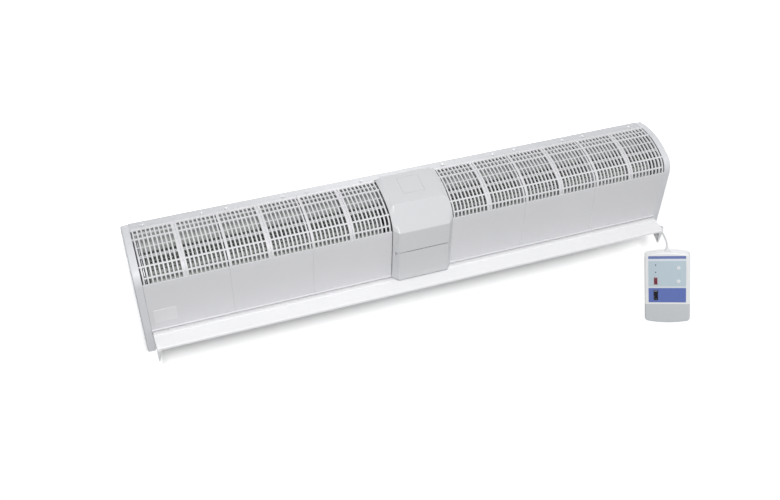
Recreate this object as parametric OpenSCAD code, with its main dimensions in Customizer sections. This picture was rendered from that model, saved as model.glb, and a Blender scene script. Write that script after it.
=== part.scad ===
// Air curtain that hangs on the wall above a doorway, with a small wired controller.
// X runs along the housing, Y points into the wall, Z points up, in millimetres.
// The origin is the centre of the four wall holes, on the back face of the chassis.

/* [Housing] */
// Pitch of the slots along the intake grille
slot_pitch = 8.6; // [8.4:0.1:8.8]
// Slot pitches across one front panel
panel_pitches = 20; // [18:2:20]
// Width of the bay under the centre cover
centre_w = 136; // [130:2:150]
// Width of each end cap
cap_w = 16; // [15:1:20]
// Height of the housing
body_h = 248; // [246:1:256]
// Distance from the top down to the lower edge of the front panels
panel_drop = 192.3; // [190:0.5:194]
// Depth of the flat flange along the top
flange_d = 25; // [24:0.5:27]
// Radius of the wide curve over the grille
crown_r = 158; // [155:1:161]
// Turn of the wide curve, in degrees
crown_sweep = 37.5; // [36.5:0.5:38.5]
// Radius of the tight curve above the plain panel
nose_r = 40; // [38:1:42]
// Lean of the plain panel from the vertical, in degrees
panel_slope = 10.2; // [9.8:0.2:10.8]
// Thickness of the steel sheet
sheet = 1.2; // [1:0.1:1.5]
// Wall of the moulded panels, caps and covers
skin = 3; // [2.6:0.1:3.2]

/* [Wall fixing] */
// Distance between the wall holes along the wall
wall_hole_span = 840; // [760:10:900]
// Distance between the upper and the lower wall holes
wall_hole_rise = 120; // [110:1:124]
// Diameter of the wall holes
wall_hole_d = 8; // [6:0.5:9]
// Distance from the top flange down to the middle of the wall holes
mount_drop = 104; // [100:1:108]

/* [Grille] */
// Width of a slot
slot_w = 5.2; // [4.6:0.1:5.6]
// Width of the slot in front of a rib
rib_slot_w = 2.6; // [2:0.1:3]
// Arc length from the flange to the first slot
slot_top = 7; // [6:0.5:8]
// Arc length from the flange to the end of the last slot
slot_bottom = 142; // [140:0.5:143]
// Width of a heavy cross bar
bar_w = 3.4; // [3:0.1:3.6]
// Width of a light cross bar
light_bar_w = 1.4; // [1.2:0.1:1.8]
// Depth of the ribs behind the grille
grille_rib = 9; // [7:0.5:9]
// Depth of the ribs behind the plain panel
panel_rib = 4; // [3:0.5:4]

/* [Centre cover] */
// Height of the cover's back edge above the flange
cover_rise = 10; // [8:0.5:11]
// Distance that the cover's front stands before the front panels
cover_proud = 13; // [12:0.5:14]
// Width of the bevel along each side of the cover
cover_bevel = 11.5; // [10:0.5:13]
// Distance from the top down to the seam across the cover
seam_drop = 119.5; // [114:0.5:124]
// Side of the square hatch in the cover's top face
hatch_side = 47; // [40:1:50]

/* [Fan] */
// Distance from the wall to the fan's axis
fan_y = 63; // [62:0.5:64]
// Distance from the top down to the fan's axis
fan_drop = 95; // [94:0.5:96]
// Diameter of the impellers
impeller_d = 92; // [88:1:92]
// Blades on each impeller
blade_count = 30; // [24:1:32]
// Diameter of the motor
motor_d = 96; // [90:1:98]
// Length of the motor
motor_l = 84; // [70:1:92]
// Diameter of the motor's shaft
shaft_d = 12; // [10:0.5:12]
// Diameter of the outer stub shafts
stub_d = 8; // [7:0.5:9]
// Guide vanes in each outlet
vane_count = 8; // [6:1:9]

/* [Deflector] */
// Reach of the blade in front of its hinge
blade_reach = 53.5; // [50:0.5:55]
// Fall of the blade's front edge below its hinge
blade_fall = 6; // [5:0.5:8]
// Thickness of the blade and its cheeks
blade_t = 1.5; // [1.2:0.1:1.8]
// Diameter of the hinge pins
pin_d = 5; // [4.6:0.1:5.2]
// Depth of the cheeks below the hinge
cheek_h = 47; // [42:0.5:50]

/* [Controller] */
// Width of the controller
ctrl_w = 109; // [100:1:112]
// Height of the controller
ctrl_h = 189; // [184:1:200]
// Thickness of the controller
ctrl_d = 28; // [27:0.5:32]
// Wall of the controller's shells
ctrl_wall = 2.5; // [2:0.1:2.8]
// Diameter of the push buttons
button_d = 9; // [8:0.1:10]
// Travel of the push buttons
button_travel = 1.2; // [0.8:0.1:1.3]
// Height of the mains rocker
power_rocker_h = 23; // [20:0.5:25]
// Height of the mode rocker
mode_rocker_h = 19; // [17:0.5:20]
// Width of both rockers
rocker_w = 7.6; // [7:0.1:9]
// Diameter of the signal cord
cord_d = 4; // [4:0.1:4.2]

/* [Hidden] */
$fn = 96;

panels_per_side = 3;
panel_w = panel_pitches * slot_pitch;
section_w = panels_per_side * panel_w;
half_w = section_w + centre_w / 2;
full_w = 2 * half_w;

// Clearances: a seam between mouldings, a seated fit, a running fit, a screw hole
seam = 0.4;
fit = 0.1;
running = 0.08;
screw_gap = 0.2;

// The housing's outline seen along X: crown arc, nose arc, then the sloping panel
function dir(a) = [-sin(a), cos(a)];
crown_c = [-flange_d, -crown_r];
nose_c = crown_c + (crown_r - nose_r) * dir(crown_sweep);
nose_end = 90 + panel_slope;
panel_top = nose_c + nose_r * dir(nose_end);
function panel_y(z, inset = 0) =
    panel_top[0] + inset / cos(panel_slope) + (panel_top[1] - z) * tan(panel_slope);

// Depth of the front panels' foot, to the nearest millimetre
foot_y = round(panel_y(-panel_drop));

// A point of the outline by its arc length from the flange, moved outward by out
crown_len = crown_r * crown_sweep * PI / 180;
function arc_angle(s) = s < crown_len
    ? s / crown_r * 180 / PI
    : crown_sweep + (s - crown_len) / nose_r * 180 / PI;
function skin_point(s, out) = s < crown_len
    ? crown_c + (crown_r + out) * dir(arc_angle(s))
    : nose_c + (nose_r + out) * dir(arc_angle(s));

// Cross bars of the grille by their arc length: light, heavy, light, a close pair, two heavy
bar_places = [21, 36, 60, 81.4, 84.8, 104, 128];
bar_widths = [for (i = [0:6]) i == 1 || i > 4 ? bar_w : light_bar_w];
end_bar_places = [36, 104];
end_bar_widths = [bar_w, bar_w];

// Step and lap in degrees where two curves of the outline meet, so that no edge is too short to mesh
curve_step = 0.01;
curve_lap = 3;

frame_inset = skin + 1.2;
chassis_lip = 46;
grommet_c = [-48, 26 - body_h];
grommet_d = 20;
grommet_bore_r = 6;
cap_boss_d = 9;
cap_bosses = [[-34, -20], [round(nose_c[0]) - 9, round(nose_c[1]) - 16], [-28, 34 - body_h]];
motor_wall_x = centre_w / 2 - 4;
end_plate_x = half_w - 9;
fan_c = [-fan_y, -fan_drop];
impeller_x0 = centre_w / 2 + 10;
impeller_x1 = end_plate_x - 9;
duct_x0 = motor_wall_x + fit;
duct_l = end_plate_x - fit - duct_x0;
hub_l = 14;
stub_l = 14;
bearing_l = 8;

scroll_shift = [-7, -6];
scroll_gap = 14;
scroll_c = fan_c + scroll_shift;
scroll_r = impeller_d / 2 + scroll_gap;
scroll_t = 1;
scroll_low = -15;
scroll_high = 50;

tongue_shift = [-43, -29];
tongue_tip = fan_c + tongue_shift;
tongue_foot = [foot_y + 10, -panel_drop + 3.5];
lip_t = 2.4;

screw_d = 3.5;
screw_head_d = 7;
flange_screw_y = 17;
flange_screw_step = 3 * slot_pitch;

hinge_c = [foot_y + 7, -panel_drop - 5.7];
eye_d = pin_d + 2;
blade_end_x = half_w - 2.5;
blade_strip = 20;
blade_top = eye_d / 2;
cheek_flange = 9;
flap_zone_y = foot_y + 20;

// Centre cover: its raised outline and the hatch on its sloping top face
cover_back_y = -32;
cover_break = [round(panel_top[0]) + 22, -17];
cover_nose_z = -68;
cover_low = -panel_drop - 1.7;
cover_w = centre_w - 1;
cover_top_slope = atan((cover_rise - cover_break[1]) / (cover_back_y - cover_break[0]));
hatch_from_back = 15;
hatch_t = 1.2;
cover_screw_x = -centre_w / 2 + 5.5;
cover_screw_z = -seam_drop - 4;
cover_screw_seat = 4.6;
cover_tab_back = 4;

// Gland on the right cap
gland_c = [-72, 12 - body_h];
gland_tip_x = half_w + cap_w + 14;

// Controller: place, turn and outline
ctrl_pos = [gland_tip_x + 47, gland_c[0] - 28, -body_h - 171];
ctrl_yaw = -33.5;
ctrl_lean = -11;
ctrl_roll = -6.3;
ctrl_bow = 6;
ctrl_corner = 9;
front_y = -ctrl_d / 2;
overlay_w = ctrl_w - 19;
overlay_top = 9;
overlay_h = 124;
overlay_t = 0.5;
lamp_x = -27.5;
button_x = 26.8;
upper_button_z = 53.8;
lower_button_z = 18;
mode_z = 19;
power_z = -19;
lamp_zs = [62, 42.7];
lamp_d = 3;
switch_wall = 1.4;
switch_l = 11;
rocker_pin_d = 1.6;
rocker_tilt = 7;
rocker_axis_y = front_y + 3.2;
button_flange = 1.3;
board_y = front_y + 8.5;
board_w = ctrl_w - 33;
board_t = 1.6;
post_x = ctrl_w / 2 - 9;
post_zs = [-ctrl_h / 2 + 18, ctrl_h / 2 - 22];

// The cord from the gland's tip to the tip of the boot on the controller
boot_l = 12;
gland_tip = [gland_tip_x, gland_c[0], gland_c[1] + mount_drop];
ctrl_up = [
    sin(ctrl_roll) * cos(ctrl_yaw) + sin(ctrl_lean) * cos(ctrl_roll) * sin(ctrl_yaw),
    sin(ctrl_roll) * sin(ctrl_yaw) - sin(ctrl_lean) * cos(ctrl_roll) * cos(ctrl_yaw),
    cos(ctrl_lean) * cos(ctrl_roll)
];
boot_tip = ctrl_pos + [0, 0, mount_drop] + (ctrl_h / 2 + boot_l) * ctrl_up;
cord_steps = [
    [0, 0, 0], [4.5, 0, -0.3], [8, 0, -2], [10.8, 0, -5], [13.5, 0, -9], [16.6, 0, -13.7],
    [20, 0, -19], [23.6, 0, -24.6], [27.2, 0, -30.2], [30.8, 0, -35.8], [34.2, 0, -41.4],
    [37.6, 0, -47.4], [41, -0.2, -53.6], [44, -0.7, -60], [46.4, -1.7, -66.4], [47.9, -3.2, -72.8]
];
cord_route = concat([for (s = cord_steps) gland_tip + s], [boot_tip]);
cord_sides = 8;

// Extrudes an outline, drawn as (y, z) in the housing, along X from x0
module along_x(x0, len) {
    translate([x0, 0, mount_drop]) rotate([90, 0, 90]) linear_extrude(len) children();
}

// A round bar along X through the housing point c
module rod(x0, len, d, c) {
    translate([x0, c[0], c[1] + mount_drop]) rotate([0, 90, 0]) cylinder(d = d, h = len);
}

// A round bar along Z whose top is at the housing height z1
module post(x, y, z1, len, d) {
    translate([x, y, z1 - len + mount_drop]) cylinder(d = d, h = len);
}

// A block with its lowest corner at a housing point
module block(corner, size) {
    translate(corner + [0, 0, mount_drop]) cube(size);
}

module wedge(c, a0, a1) {
    polygon([c, c + 400 * dir(a0), c + 400 * dir((a0 + a1) / 2), c + 400 * dir(a1)]);
}

// The housing's full outline, drawn in from its surface by inset
module profile(inset = 0) {
    low = -body_h + inset;
    intersection() {
        translate(crown_c) circle(r = crown_r - inset);
        wedge(crown_c, 0, crown_sweep);
    }
    intersection() {
        translate(nose_c) circle(r = nose_r - inset - curve_step);
        wedge(nose_c, crown_sweep - curve_lap, nose_end + curve_lap);
    }
    polygon([
        [-inset, -inset], [-flange_d, -inset], crown_c, nose_c,
        nose_c + (nose_r - inset - 2 * curve_step) * dir(nose_end),
        [panel_y(low, inset), low], [-inset, low]
    ]);
}

// The region that the front panels cover, between two heights
module front_window(z0, z1) {
    polygon([[-flange_d, z1], [-300, z1], [-300, z0], [-flange_d, z0]]);
}

// ---- Back chassis ----

module back_chassis() {
    color("gainsboro") difference() {
        along_x(-half_w, full_w) {
            translate([-sheet, -body_h]) square([sheet, body_h]);
            translate([-flange_d + seam, -sheet]) square([flange_d - seam, sheet]);
            translate([-chassis_lip, -body_h]) square([chassis_lip, sheet]);
        }
        for (sx = [-1, 1], sz = [-1, 1]) translate([sx * wall_hole_span / 2, 1, sz * wall_hole_rise / 2])
            rotate([90, 0, 0]) cylinder(d = wall_hole_d, h = sheet + 2);
        translate([grommet_c[0], 1, grommet_c[1] + mount_drop]) rotate([90, 0, 0])
            cylinder(d = grommet_d, h = sheet + 2);
        for (x = flange_screw_xs()) post(x, -flange_screw_y, 1, sheet + 2, screw_d + 2 * screw_gap);
    }
}

function flange_screw_xs() = [
    for (side_x0 = [-half_w, centre_w / 2], k = [0:panels_per_side - 1],
         e = [flange_screw_step, panel_w - flange_screw_step]) side_x0 + k * panel_w + e
];

module flange_screws() {
    color("silver") for (x = flange_screw_xs()) {
        post(x, -flange_screw_y, 2.2, 2.2, screw_head_d);
        post(x, -flange_screw_y, 0.2, 10, screw_d);
    }
}

module mains_grommet() {
    groove_r = grommet_d / 2 - fit;
    rim_t = 2.4;
    color("dimgray") translate([grommet_c[0], 0, grommet_c[1] + mount_drop]) rotate([90, 0, 0])
        rotate_extrude() {
            translate([grommet_bore_r, 0]) square([groove_r - grommet_bore_r, sheet + rim_t]);
            translate([grommet_bore_r, sheet + fit]) square([grommet_d / 2 - 2, rim_t]);
        }
}

// ---- End caps ----

// The right cap; the left one is its mirror image
module end_cap() {
    wall = skin - 0.5;
    outer = half_w + cap_w;
    difference() {
        union() {
            difference() {
                along_x(half_w, cap_w) profile();
                along_x(half_w - 1, cap_w + 1 - wall) profile(wall);
            }
            for (c = cap_bosses) {
                boss_x = end_plate_x + sheet + fit;
                rod(boss_x, outer - wall / 2 - boss_x, cap_boss_d, c);
            }
            pivot_x = blade_end_x + blade_t + 2 * fit;
            rod(pivot_x, outer - wall / 2 - pivot_x, pin_d + 6, hinge_c);
        }
        for (c = cap_bosses) {
            rod(end_plate_x, cap_w + 20, screw_d + 2 * screw_gap, c);
            rod(outer - 1.2, 10, screw_head_d + 0.6, c);
        }
        rod(half_w - 10, cap_w + 10 - wall, pin_d + 2 * fit, hinge_c);
    }
}

module left_end_cap() {
    color("lavender") mirror([1, 0, 0]) end_cap();
}

module right_end_cap() {
    color("lavender") difference() {
        end_cap();
        rod(half_w, cap_w + 5, cord_d + 4 + 2 * fit, gland_c);
    }
}

module cap_screws() {
    outer = half_w + cap_w;
    color("silver") for (side = [0, 1], c = cap_bosses) mirror([side, 0, 0]) {
        rod(outer - 1.2, 1.6, screw_head_d, c);
        rod(end_plate_x - 3, outer - end_plate_x + 2, screw_d, c);
    }
}

// ---- Front panels ----

// Openings between cross bars, as slices across the wall
module slot_rows(places, widths) {
    n = len(places);
    for (i = [0:n]) {
        s0 = i == 0 ? slot_top : places[i - 1] + widths[i - 1] / 2;
        s1 = i == n ? slot_bottom : places[i] - widths[i] / 2;
        polygon([skin_point(s0, -skin - 1), skin_point(s0, 4), skin_point(s1, 4), skin_point(s1, -skin - 1)]);
    }
}

module panel_section() {
    bead = 1.6;
    lip_d = 11;
    foot_z = -panel_drop;
    difference() {
        intersection() {
            profile();
            front_window(foot_z, 1);
        }
        profile(skin);
    }
    translate([-flange_d - 1, -sheet - lip_t - fit]) square([20, lip_t]);
    translate([panel_y(foot_z, 1), foot_z]) square([lip_d, lip_t]);
    polygon([
        [panel_y(foot_z + 6, 0.5), foot_z + 6], [panel_y(foot_z + 3.5) - bead, foot_z + 3.5],
        [panel_y(foot_z) - bead, foot_z], [panel_y(foot_z, 0.5), foot_z]
    ]);
}

module rib_section(with_grille) {
    if (with_grille) difference() {
        intersection() {
            profile(skin - 0.2);
            front_window(panel_top[1], 0);
        }
        profile(skin + grille_rib);
    }
    difference() {
        intersection() {
            profile(skin - 0.2);
            front_window(-panel_drop + 12, panel_top[1]);
        }
        profile(skin + panel_rib);
    }
}

// One front panel from x0; a grille end is true where the panel ends a side
module front_panel(x0, grille_end_left, grille_end_right) {
    rib_t = 2;
    w = panel_w - seam;
    left = x0 + seam / 2;
    mid = panel_pitches / 2;
    color("whitesmoke") difference() {
        union() {
            along_x(left, w) panel_section();
            along_x(x0 + panel_w / 2 - rib_t, 2 * rib_t) rib_section(true);
            along_x(left, rib_t) rib_section(!grille_end_left);
            along_x(left + w - rib_t - (grille_end_right ? 0 : rib_slot_w), rib_t)
                rib_section(!grille_end_right);
        }
        for (i = [1:panel_pitches - 1]) {
            slot = i == mid ? rib_slot_w : slot_w;
            along_x(x0 + i * slot_pitch - slot / 2, slot) slot_rows(bar_places, bar_widths);
        }
        if (grille_end_left)
            along_x(x0 - 1, 1 + slot_w / 2) slot_rows(end_bar_places, end_bar_widths);
        if (grille_end_right)
            along_x(x0 + panel_w - slot_w / 2, 1 + slot_w / 2) slot_rows(end_bar_places, end_bar_widths);
        else
            along_x(x0 + panel_w - rib_slot_w, 1 + rib_slot_w) slot_rows(bar_places, bar_widths);
        for (x = [x0 + flange_screw_step, x0 + panel_w - flange_screw_step])
            post(x, -flange_screw_y, 0, 12, screw_d + 2 * screw_gap);
    }
}

module front_panel_1() { front_panel(-half_w, true, false); }
module front_panel_2() { front_panel(-half_w + panel_w, false, false); }
module front_panel_3() { front_panel(-half_w + 2 * panel_w, false, true); }
module front_panel_4() { front_panel(centre_w / 2, true, false); }
module front_panel_5() { front_panel(centre_w / 2 + panel_w, false, false); }
module front_panel_6() { front_panel(centre_w / 2 + 2 * panel_w, false, true); }

// Blank plate on the first panel, flat on the sloping face
module label_plate() {
    plate = [46, 0.4, 34];
    z = -170.5;
    from_end = 9.5;
    color("white") translate([-half_w + from_end, panel_y(z), z + mount_drop]) rotate([panel_slope, 0, 0])
        translate([0, -plate[1], 0]) cube(plate);
}

// ---- Centre cover ----

// Raised outline, grown outward by out; its last points close it behind the skin
module cover_raised(out) {
    polygon([
        [cover_back_y + 6 + out, -4], [cover_back_y + out * 0.8, cover_rise + out],
        cover_break + [-0.5, 1.1] * out,
        [panel_y(cover_nose_z, -cover_proud - out), cover_nose_z + out],
        [panel_y(cover_low, -cover_proud - out), cover_low - out],
        [panel_y(cover_low, 2), cover_low - out]
    ]);
}

// Base outline that follows the curve of the front panels
module cover_base(out) {
    steps = 6;
    arc = [for (i = [0:steps]) skin_point(6 + (slot_bottom - 6) * i / steps, 2 + out)];
    polygon(concat(arc, [
        [panel_y(cover_low, -2 - out), cover_low - out], [panel_y(cover_low, 12), cover_low - out]
    ]));
}

module cover_solid(out) {
    raised_w = cover_w - 2 * cover_bevel + 2 * out;
    base_w = cover_w + 2 * out;
    hull() {
        along_x(-raised_w / 2, raised_w) cover_raised(out);
        along_x(-base_w / 2, base_w) cover_base(out);
    }
}

module cover_shell() {
    difference() {
        cover_solid(0);
        cover_solid(-skin + 0.5);
        along_x(-centre_w / 2 - 1, centre_w + 2) profile(frame_inset - fit);
    }
}

// Local frame of the cover's sloping top face, with -Y running down the slope
module on_cover_top() {
    translate([0, cover_back_y, cover_rise + mount_drop]) rotate([cover_top_slope, 0, 0]) children();
}

module hatch_block(grow) {
    translate([-hatch_side / 2 - grow, -hatch_from_back - hatch_side - grow, -hatch_t])
        cube([hatch_side + 2 * grow, hatch_side + 2 * grow, hatch_t + grow]);
}

module centre_cover() {
    color("gainsboro") difference() {
        intersection() {
            cover_shell();
            block([-centre_w / 2, -200, -seam_drop + seam / 2], [centre_w, 200, 200]);
        }
        on_cover_top() hatch_block(0.3);
    }
}

module centre_hatch() {
    color("gainsboro") on_cover_top() hatch_block(0);
}

// Lower cover, with a boss behind its left bevel for the screw
module centre_lower_cover() {
    color("lightgray") difference() {
        intersection() {
            union() {
                cover_shell();
                intersection() {
                    cover_solid(0);
                    at_cover_screw() translate([0, 0, -cover_tab_back])
                        cylinder(d = cap_boss_d, h = cover_tab_back + cover_proud);
                }
            }
            block([-centre_w / 2, -200, -seam_drop - seam / 2 - 120], [centre_w, 200, 120]);
        }
        cover_screw_hole();
        at_cover_screw() translate([0, 0, cover_screw_seat]) cylinder(d = 6.2, h = cover_proud);
    }
}

// Frame of the cover screw, with its origin on the plane of the front panels and Z outward
module at_cover_screw() {
    translate([cover_screw_x, panel_y(cover_screw_z), cover_screw_z + mount_drop])
        rotate([90, 0, 0]) children();
}

module cover_screw_hole() {
    at_cover_screw() translate([0, 0, -12]) cylinder(d = screw_d + 2 * screw_gap, h = 12 + cover_proud);
}

module cover_screw() {
    color("gray") at_cover_screw() {
        translate([0, 0, cover_screw_seat]) cylinder(d = 5.6, h = 1.6);
        translate([0, 0, -9]) cylinder(d = screw_d, h = 9.2 + cover_screw_seat);
    }
}

// ---- Inner frame ----

// Outline of the four upright plates, clear of the panels and of the deflector
module plate_section() {
    difference() {
        profile(frame_inset);
        polygon([
            [flap_zone_y, -panel_drop + 5], [-200, -panel_drop + 5],
            [-200, -body_h - 5], [flap_zone_y, -body_h - 5]
        ]);
    }
    translate([-20, -body_h + sheet + fit])
        square([20 - sheet - fit, body_h - sheet - fit - frame_inset - 1]);
}

module upright_plate(x0, hole_d) {
    color("darkgray") difference() {
        along_x(x0, sheet) plate_section();
        rod(x0 - 1, sheet + 2, hole_d, fan_c);
        if (x0 > end_plate_x - 1 || x0 < -end_plate_x) for (c = cap_bosses)
            rod(x0 - 1, sheet + 2, screw_d + 2 * screw_gap, c);
    }
}

module left_end_plate() { upright_plate(-end_plate_x - sheet, bearing_hole_d()); }
module right_end_plate() { upright_plate(end_plate_x, bearing_hole_d()); }
module left_motor_wall() {
    tab = [8, 14, sheet];
    color("darkgray") difference() {
        union() {
            upright_plate(-motor_wall_x, shaft_d + 20);
            at_cover_screw()
                translate([-motor_wall_x - cover_screw_x, -tab[1] / 2, -cover_tab_back - fit - tab[2]])
                    cube(tab);
        }
        cover_screw_hole();
        at_cover_screw() translate([0, 0, -cover_tab_back - fit]) cylinder(d = cap_boss_d, h = cover_proud);
    }
}
module right_motor_wall() { upright_plate(motor_wall_x - sheet, shaft_d + 20); }

function bearing_hole_d() = stub_d + 16;
function polar(c, r, a) = c + r * [cos(a), sin(a)];

module scroll_section() {
    low = -body_h + sheet + 3 * fit;
    a = scroll_low;
    down = [sin(a), -cos(a)];
    in0 = polar(scroll_c, scroll_r, a);
    out0 = polar(scroll_c, scroll_r + scroll_t, a);
    run = (out0[1] - low) / cos(a) - scroll_t;
    in1 = polar(scroll_c, scroll_r, scroll_high);
    out1 = polar(scroll_c, scroll_r + scroll_t, scroll_high);
    inlet = [-10, -frame_inset - 3];
    difference() {
        intersection() {
            translate(scroll_c) circle(r = scroll_r + scroll_t);
            polygon([
                scroll_c, polar(scroll_c, 200, a), polar(scroll_c, 200, (a + scroll_high) / 2),
                polar(scroll_c, 200, scroll_high)
            ]);
        }
        translate(scroll_c) circle(r = scroll_r);
    }
    polygon([in0, out0, out0 + run * down, in0 + run * down]);
    polygon([in1, out1, inlet + [scroll_t, 0], inlet]);
}

module tongue_section() {
    tip_r = 3;
    foot = tongue_foot;
    lip = 6.4;
    reach_z = tongue_tip[1] + 7;
    reach = [(tongue_tip[0] + panel_y(reach_z, 2)) / 2, reach_z];
    translate(tongue_tip) circle(r = tip_r);
    polygon([
        tongue_tip - [2, 0], tongue_tip - [0.8, 0],
        foot + [scroll_t, -scroll_t / 2], foot - [0, scroll_t / 2]
    ]);
    polygon([foot - [lip, scroll_t], foot - [lip, 0], foot + [scroll_t, 0], foot + [scroll_t, -scroll_t]]);
    polygon([tongue_tip + [-1, 1], tongue_tip + [-1, 2.2], reach + [0, 1], reach]);
}

module left_scroll() { color("silver") along_x(-duct_x0 - duct_l, duct_l) scroll_section(); }
module right_scroll() { color("silver") along_x(duct_x0, duct_l) scroll_section(); }
module left_tongue() { color("silver") along_x(-duct_x0 - duct_l, duct_l) tongue_section(); }
module right_tongue() { color("silver") along_x(duct_x0, duct_l) tongue_section(); }

// Vanes on one rod, between the scroll and the tongue
module outlet_vanes() {
    z0 = -150;
    z1 = -182;
    lean = tan(-scroll_low);
    rear_y = scroll_c[0] + scroll_r * cos(scroll_low) - fit * 3;
    rear_z = scroll_c[1] + scroll_r * sin(scroll_low);
    fall = (tongue_foot[0] + scroll_t - tongue_tip[0] + 1) / (tongue_tip[1] - 1 - tongue_foot[1]);
    front_y0 = tongue_tip[0] - 1 + fit * 4;
    step = duct_l / (vane_count + 1);
    function rear(z) = rear_y - (rear_z - z) * lean;
    function front(z) = front_y0 + (tongue_tip[1] - 1 - z) * fall;
    for (i = [1:vane_count]) along_x(duct_x0 + i * step - 0.5, 1)
        polygon([[front(z0), z0], [rear(z0), z0], [rear(z1), z1], [front(z1), z1]]);
    rod(duct_x0, duct_l, 5, [-62, (z0 + z1) / 2]);
}

module left_outlet_vanes() { color("gray") mirror([1, 0, 0]) outlet_vanes(); }
module right_outlet_vanes() { color("gray") outlet_vanes(); }

// Floor of the motor bay, behind the deflector
module centre_floor() {
    floor_y = flap_zone_y + 2;
    w = 2 * (motor_wall_x - sheet - fit);
    color("darkgray") along_x(-w / 2, w) {
        translate([floor_y, -body_h]) square([-floor_y - chassis_lip - fit, sheet]);
        translate([floor_y, -body_h]) square([sheet, body_h - panel_drop + 5]);
        translate([floor_y - 11, -panel_drop + 5 - sheet]) square([11 + sheet, sheet]);
    }
}

// ---- Motor and impellers ----

module motor_body() {
    bell = 6;
    color("dimgray") difference() {
        union() {
            rod(-motor_l / 2, motor_l, motor_d - 2 * bell, fan_c);
            rod(-motor_l / 2 + bell, motor_l - 2 * bell, motor_d, fan_c);
            rod(-motor_l / 2 - 5, motor_l + 10, 30, fan_c);
        }
        rod(-motor_l, 2 * motor_l, shaft_d + 2 * running, fan_c);
    }
}

module motor_bracket() {
    saddle_w = motor_l - 24;
    saddle_h = motor_d * 2 / 3;
    saddle_y = fan_y - 35;
    plate_h = motor_d + 4;
    window = motor_d * 5 / 12;
    color("silver") difference() {
        union() {
            block([-saddle_w / 2, -saddle_y, -fan_drop - saddle_h / 2],
                [saddle_w, saddle_y - sheet - fit, saddle_h]);
            block([-saddle_w / 2, -4, -fan_drop - plate_h / 2], [saddle_w, 4 - sheet - fit, plate_h]);
        }
        rod(-saddle_w, 2 * saddle_w, motor_d + 2 * fit, fan_c);
        block([-saddle_w / 2 + 8, 4 - saddle_y, -fan_drop - window / 2], [saddle_w - 16, window, window]);
    }
}

module motor_shaft() {
    tip = impeller_x0 + hub_l - 1;
    color("lightgray") rod(-tip, 2 * tip, shaft_d, fan_c);
}

// One curved blade at the turn a, drawn around the axis
module blade(a) {
    r0 = impeller_d / 2 - 10;
    r1 = impeller_d / 2;
    bend = 12;
    thick = 1.1;
    outer = [for (t = [0, 0.5, 1]) polar(fan_c, r0 + (r1 - r0) * t, a + bend * t * t)];
    inner = [for (t = [1, 0.5, 0]) polar(fan_c, r0 + (r1 - r0) * t, a + bend * t * t - thick * 57.3 / r1)];
    polygon(concat(outer, inner));
}

// The right impeller: blades, stiffening discs, hub and stub shaft
module impeller() {
    disc_t = 1.5;
    discs = 5;
    len = impeller_x1 - impeller_x0;
    rim_d = impeller_d - 1;
    difference() {
        union() {
            along_x(impeller_x0, len) for (i = [0:blade_count - 1]) blade(i * 360 / blade_count);
            for (i = [0, discs]) rod(impeller_x0 + i * (len - disc_t) / discs, disc_t, rim_d, fan_c);
            for (i = [1:discs - 1]) difference() {
                rod(impeller_x0 + i * (len - disc_t) / discs, disc_t, rim_d, fan_c);
                rod(impeller_x0, len, impeller_d - 22, fan_c);
            }
            rod(impeller_x0, hub_l, shaft_d + 14, fan_c);
            rod(impeller_x1 - 6, 6 + stub_l, stub_d, fan_c);
            rod(impeller_x1 - 6, 6, stub_d + 12, fan_c);
        }
        rod(impeller_x0 - 1, hub_l + 1, shaft_d + 2 * fit, fan_c);
    }
}

module left_impeller() { color("dimgray") mirror([1, 0, 0]) impeller(); }
module right_impeller() { color("dimgray") impeller(); }

// Bush in the right end plate, with its flange on the inner side
module bearing() {
    difference() {
        union() {
            rod(end_plate_x - 3, bearing_l, bearing_hole_d() - 2 * fit, fan_c);
            rod(end_plate_x - 3, 3 - fit, bearing_hole_d() + 10, fan_c);
        }
        rod(end_plate_x - 10, 30, stub_d + 2 * running, fan_c);
    }
}

module left_bearing() { color("black") mirror([1, 0, 0]) bearing(); }
module right_bearing() { color("black") bearing(); }

// ---- Parts in the motor bay ----

module capacitor() {
    can = [motor_wall_x - 24, -22, 86 - body_h];
    can_d = 36;
    can_l = 62;
    color("white") {
        post(can[0], can[1], can[2], can_l, can_d);
        for (side = [-1, 1]) post(can[0] + side * 6, can[1], can[2] + 5, 6, 5);
        block([can[0] - can_d / 2, -6, can[2] - 43], [can_d, 6 - sheet - fit, 12]);
    }
}

module terminal_block() {
    poles = 6;
    pole_w = 9;
    depth = 20;
    x0 = 4 - motor_wall_x;
    z0 = 62 - body_h;
    color("ivory") difference() {
        block([x0, -depth, z0], [poles * pole_w, depth - sheet - fit, depth]);
        for (i = [0:poles - 1])
            translate([x0 + (i + 0.5) * pole_w, -14, z0 + depth / 2 + mount_drop]) rotate([90, 0, 0])
                cylinder(d = 5, h = 10);
    }
}

module control_board() {
    board = [58, 1.6, 52];
    corner = [motor_wall_x - 102, -36, 6 - body_h];
    relay = [18, 16.5, 22];
    post_in = 5;
    color("darkgreen") {
        block(corner, board);
        for (x = [post_in, board[0] - post_in], z = [post_in, board[2] - post_in])
            translate([corner[0] + x, -sheet - fit, corner[2] + z + mount_drop]) rotate([90, 0, 0])
                cylinder(d = 5, h = -corner[1] - board[1] / 2 - sheet);
        for (i = [0, 1]) block(corner + [8 + i * 24, 0.5 - relay[1], 12], relay);
    }
}

// ---- Deflector ----

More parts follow.
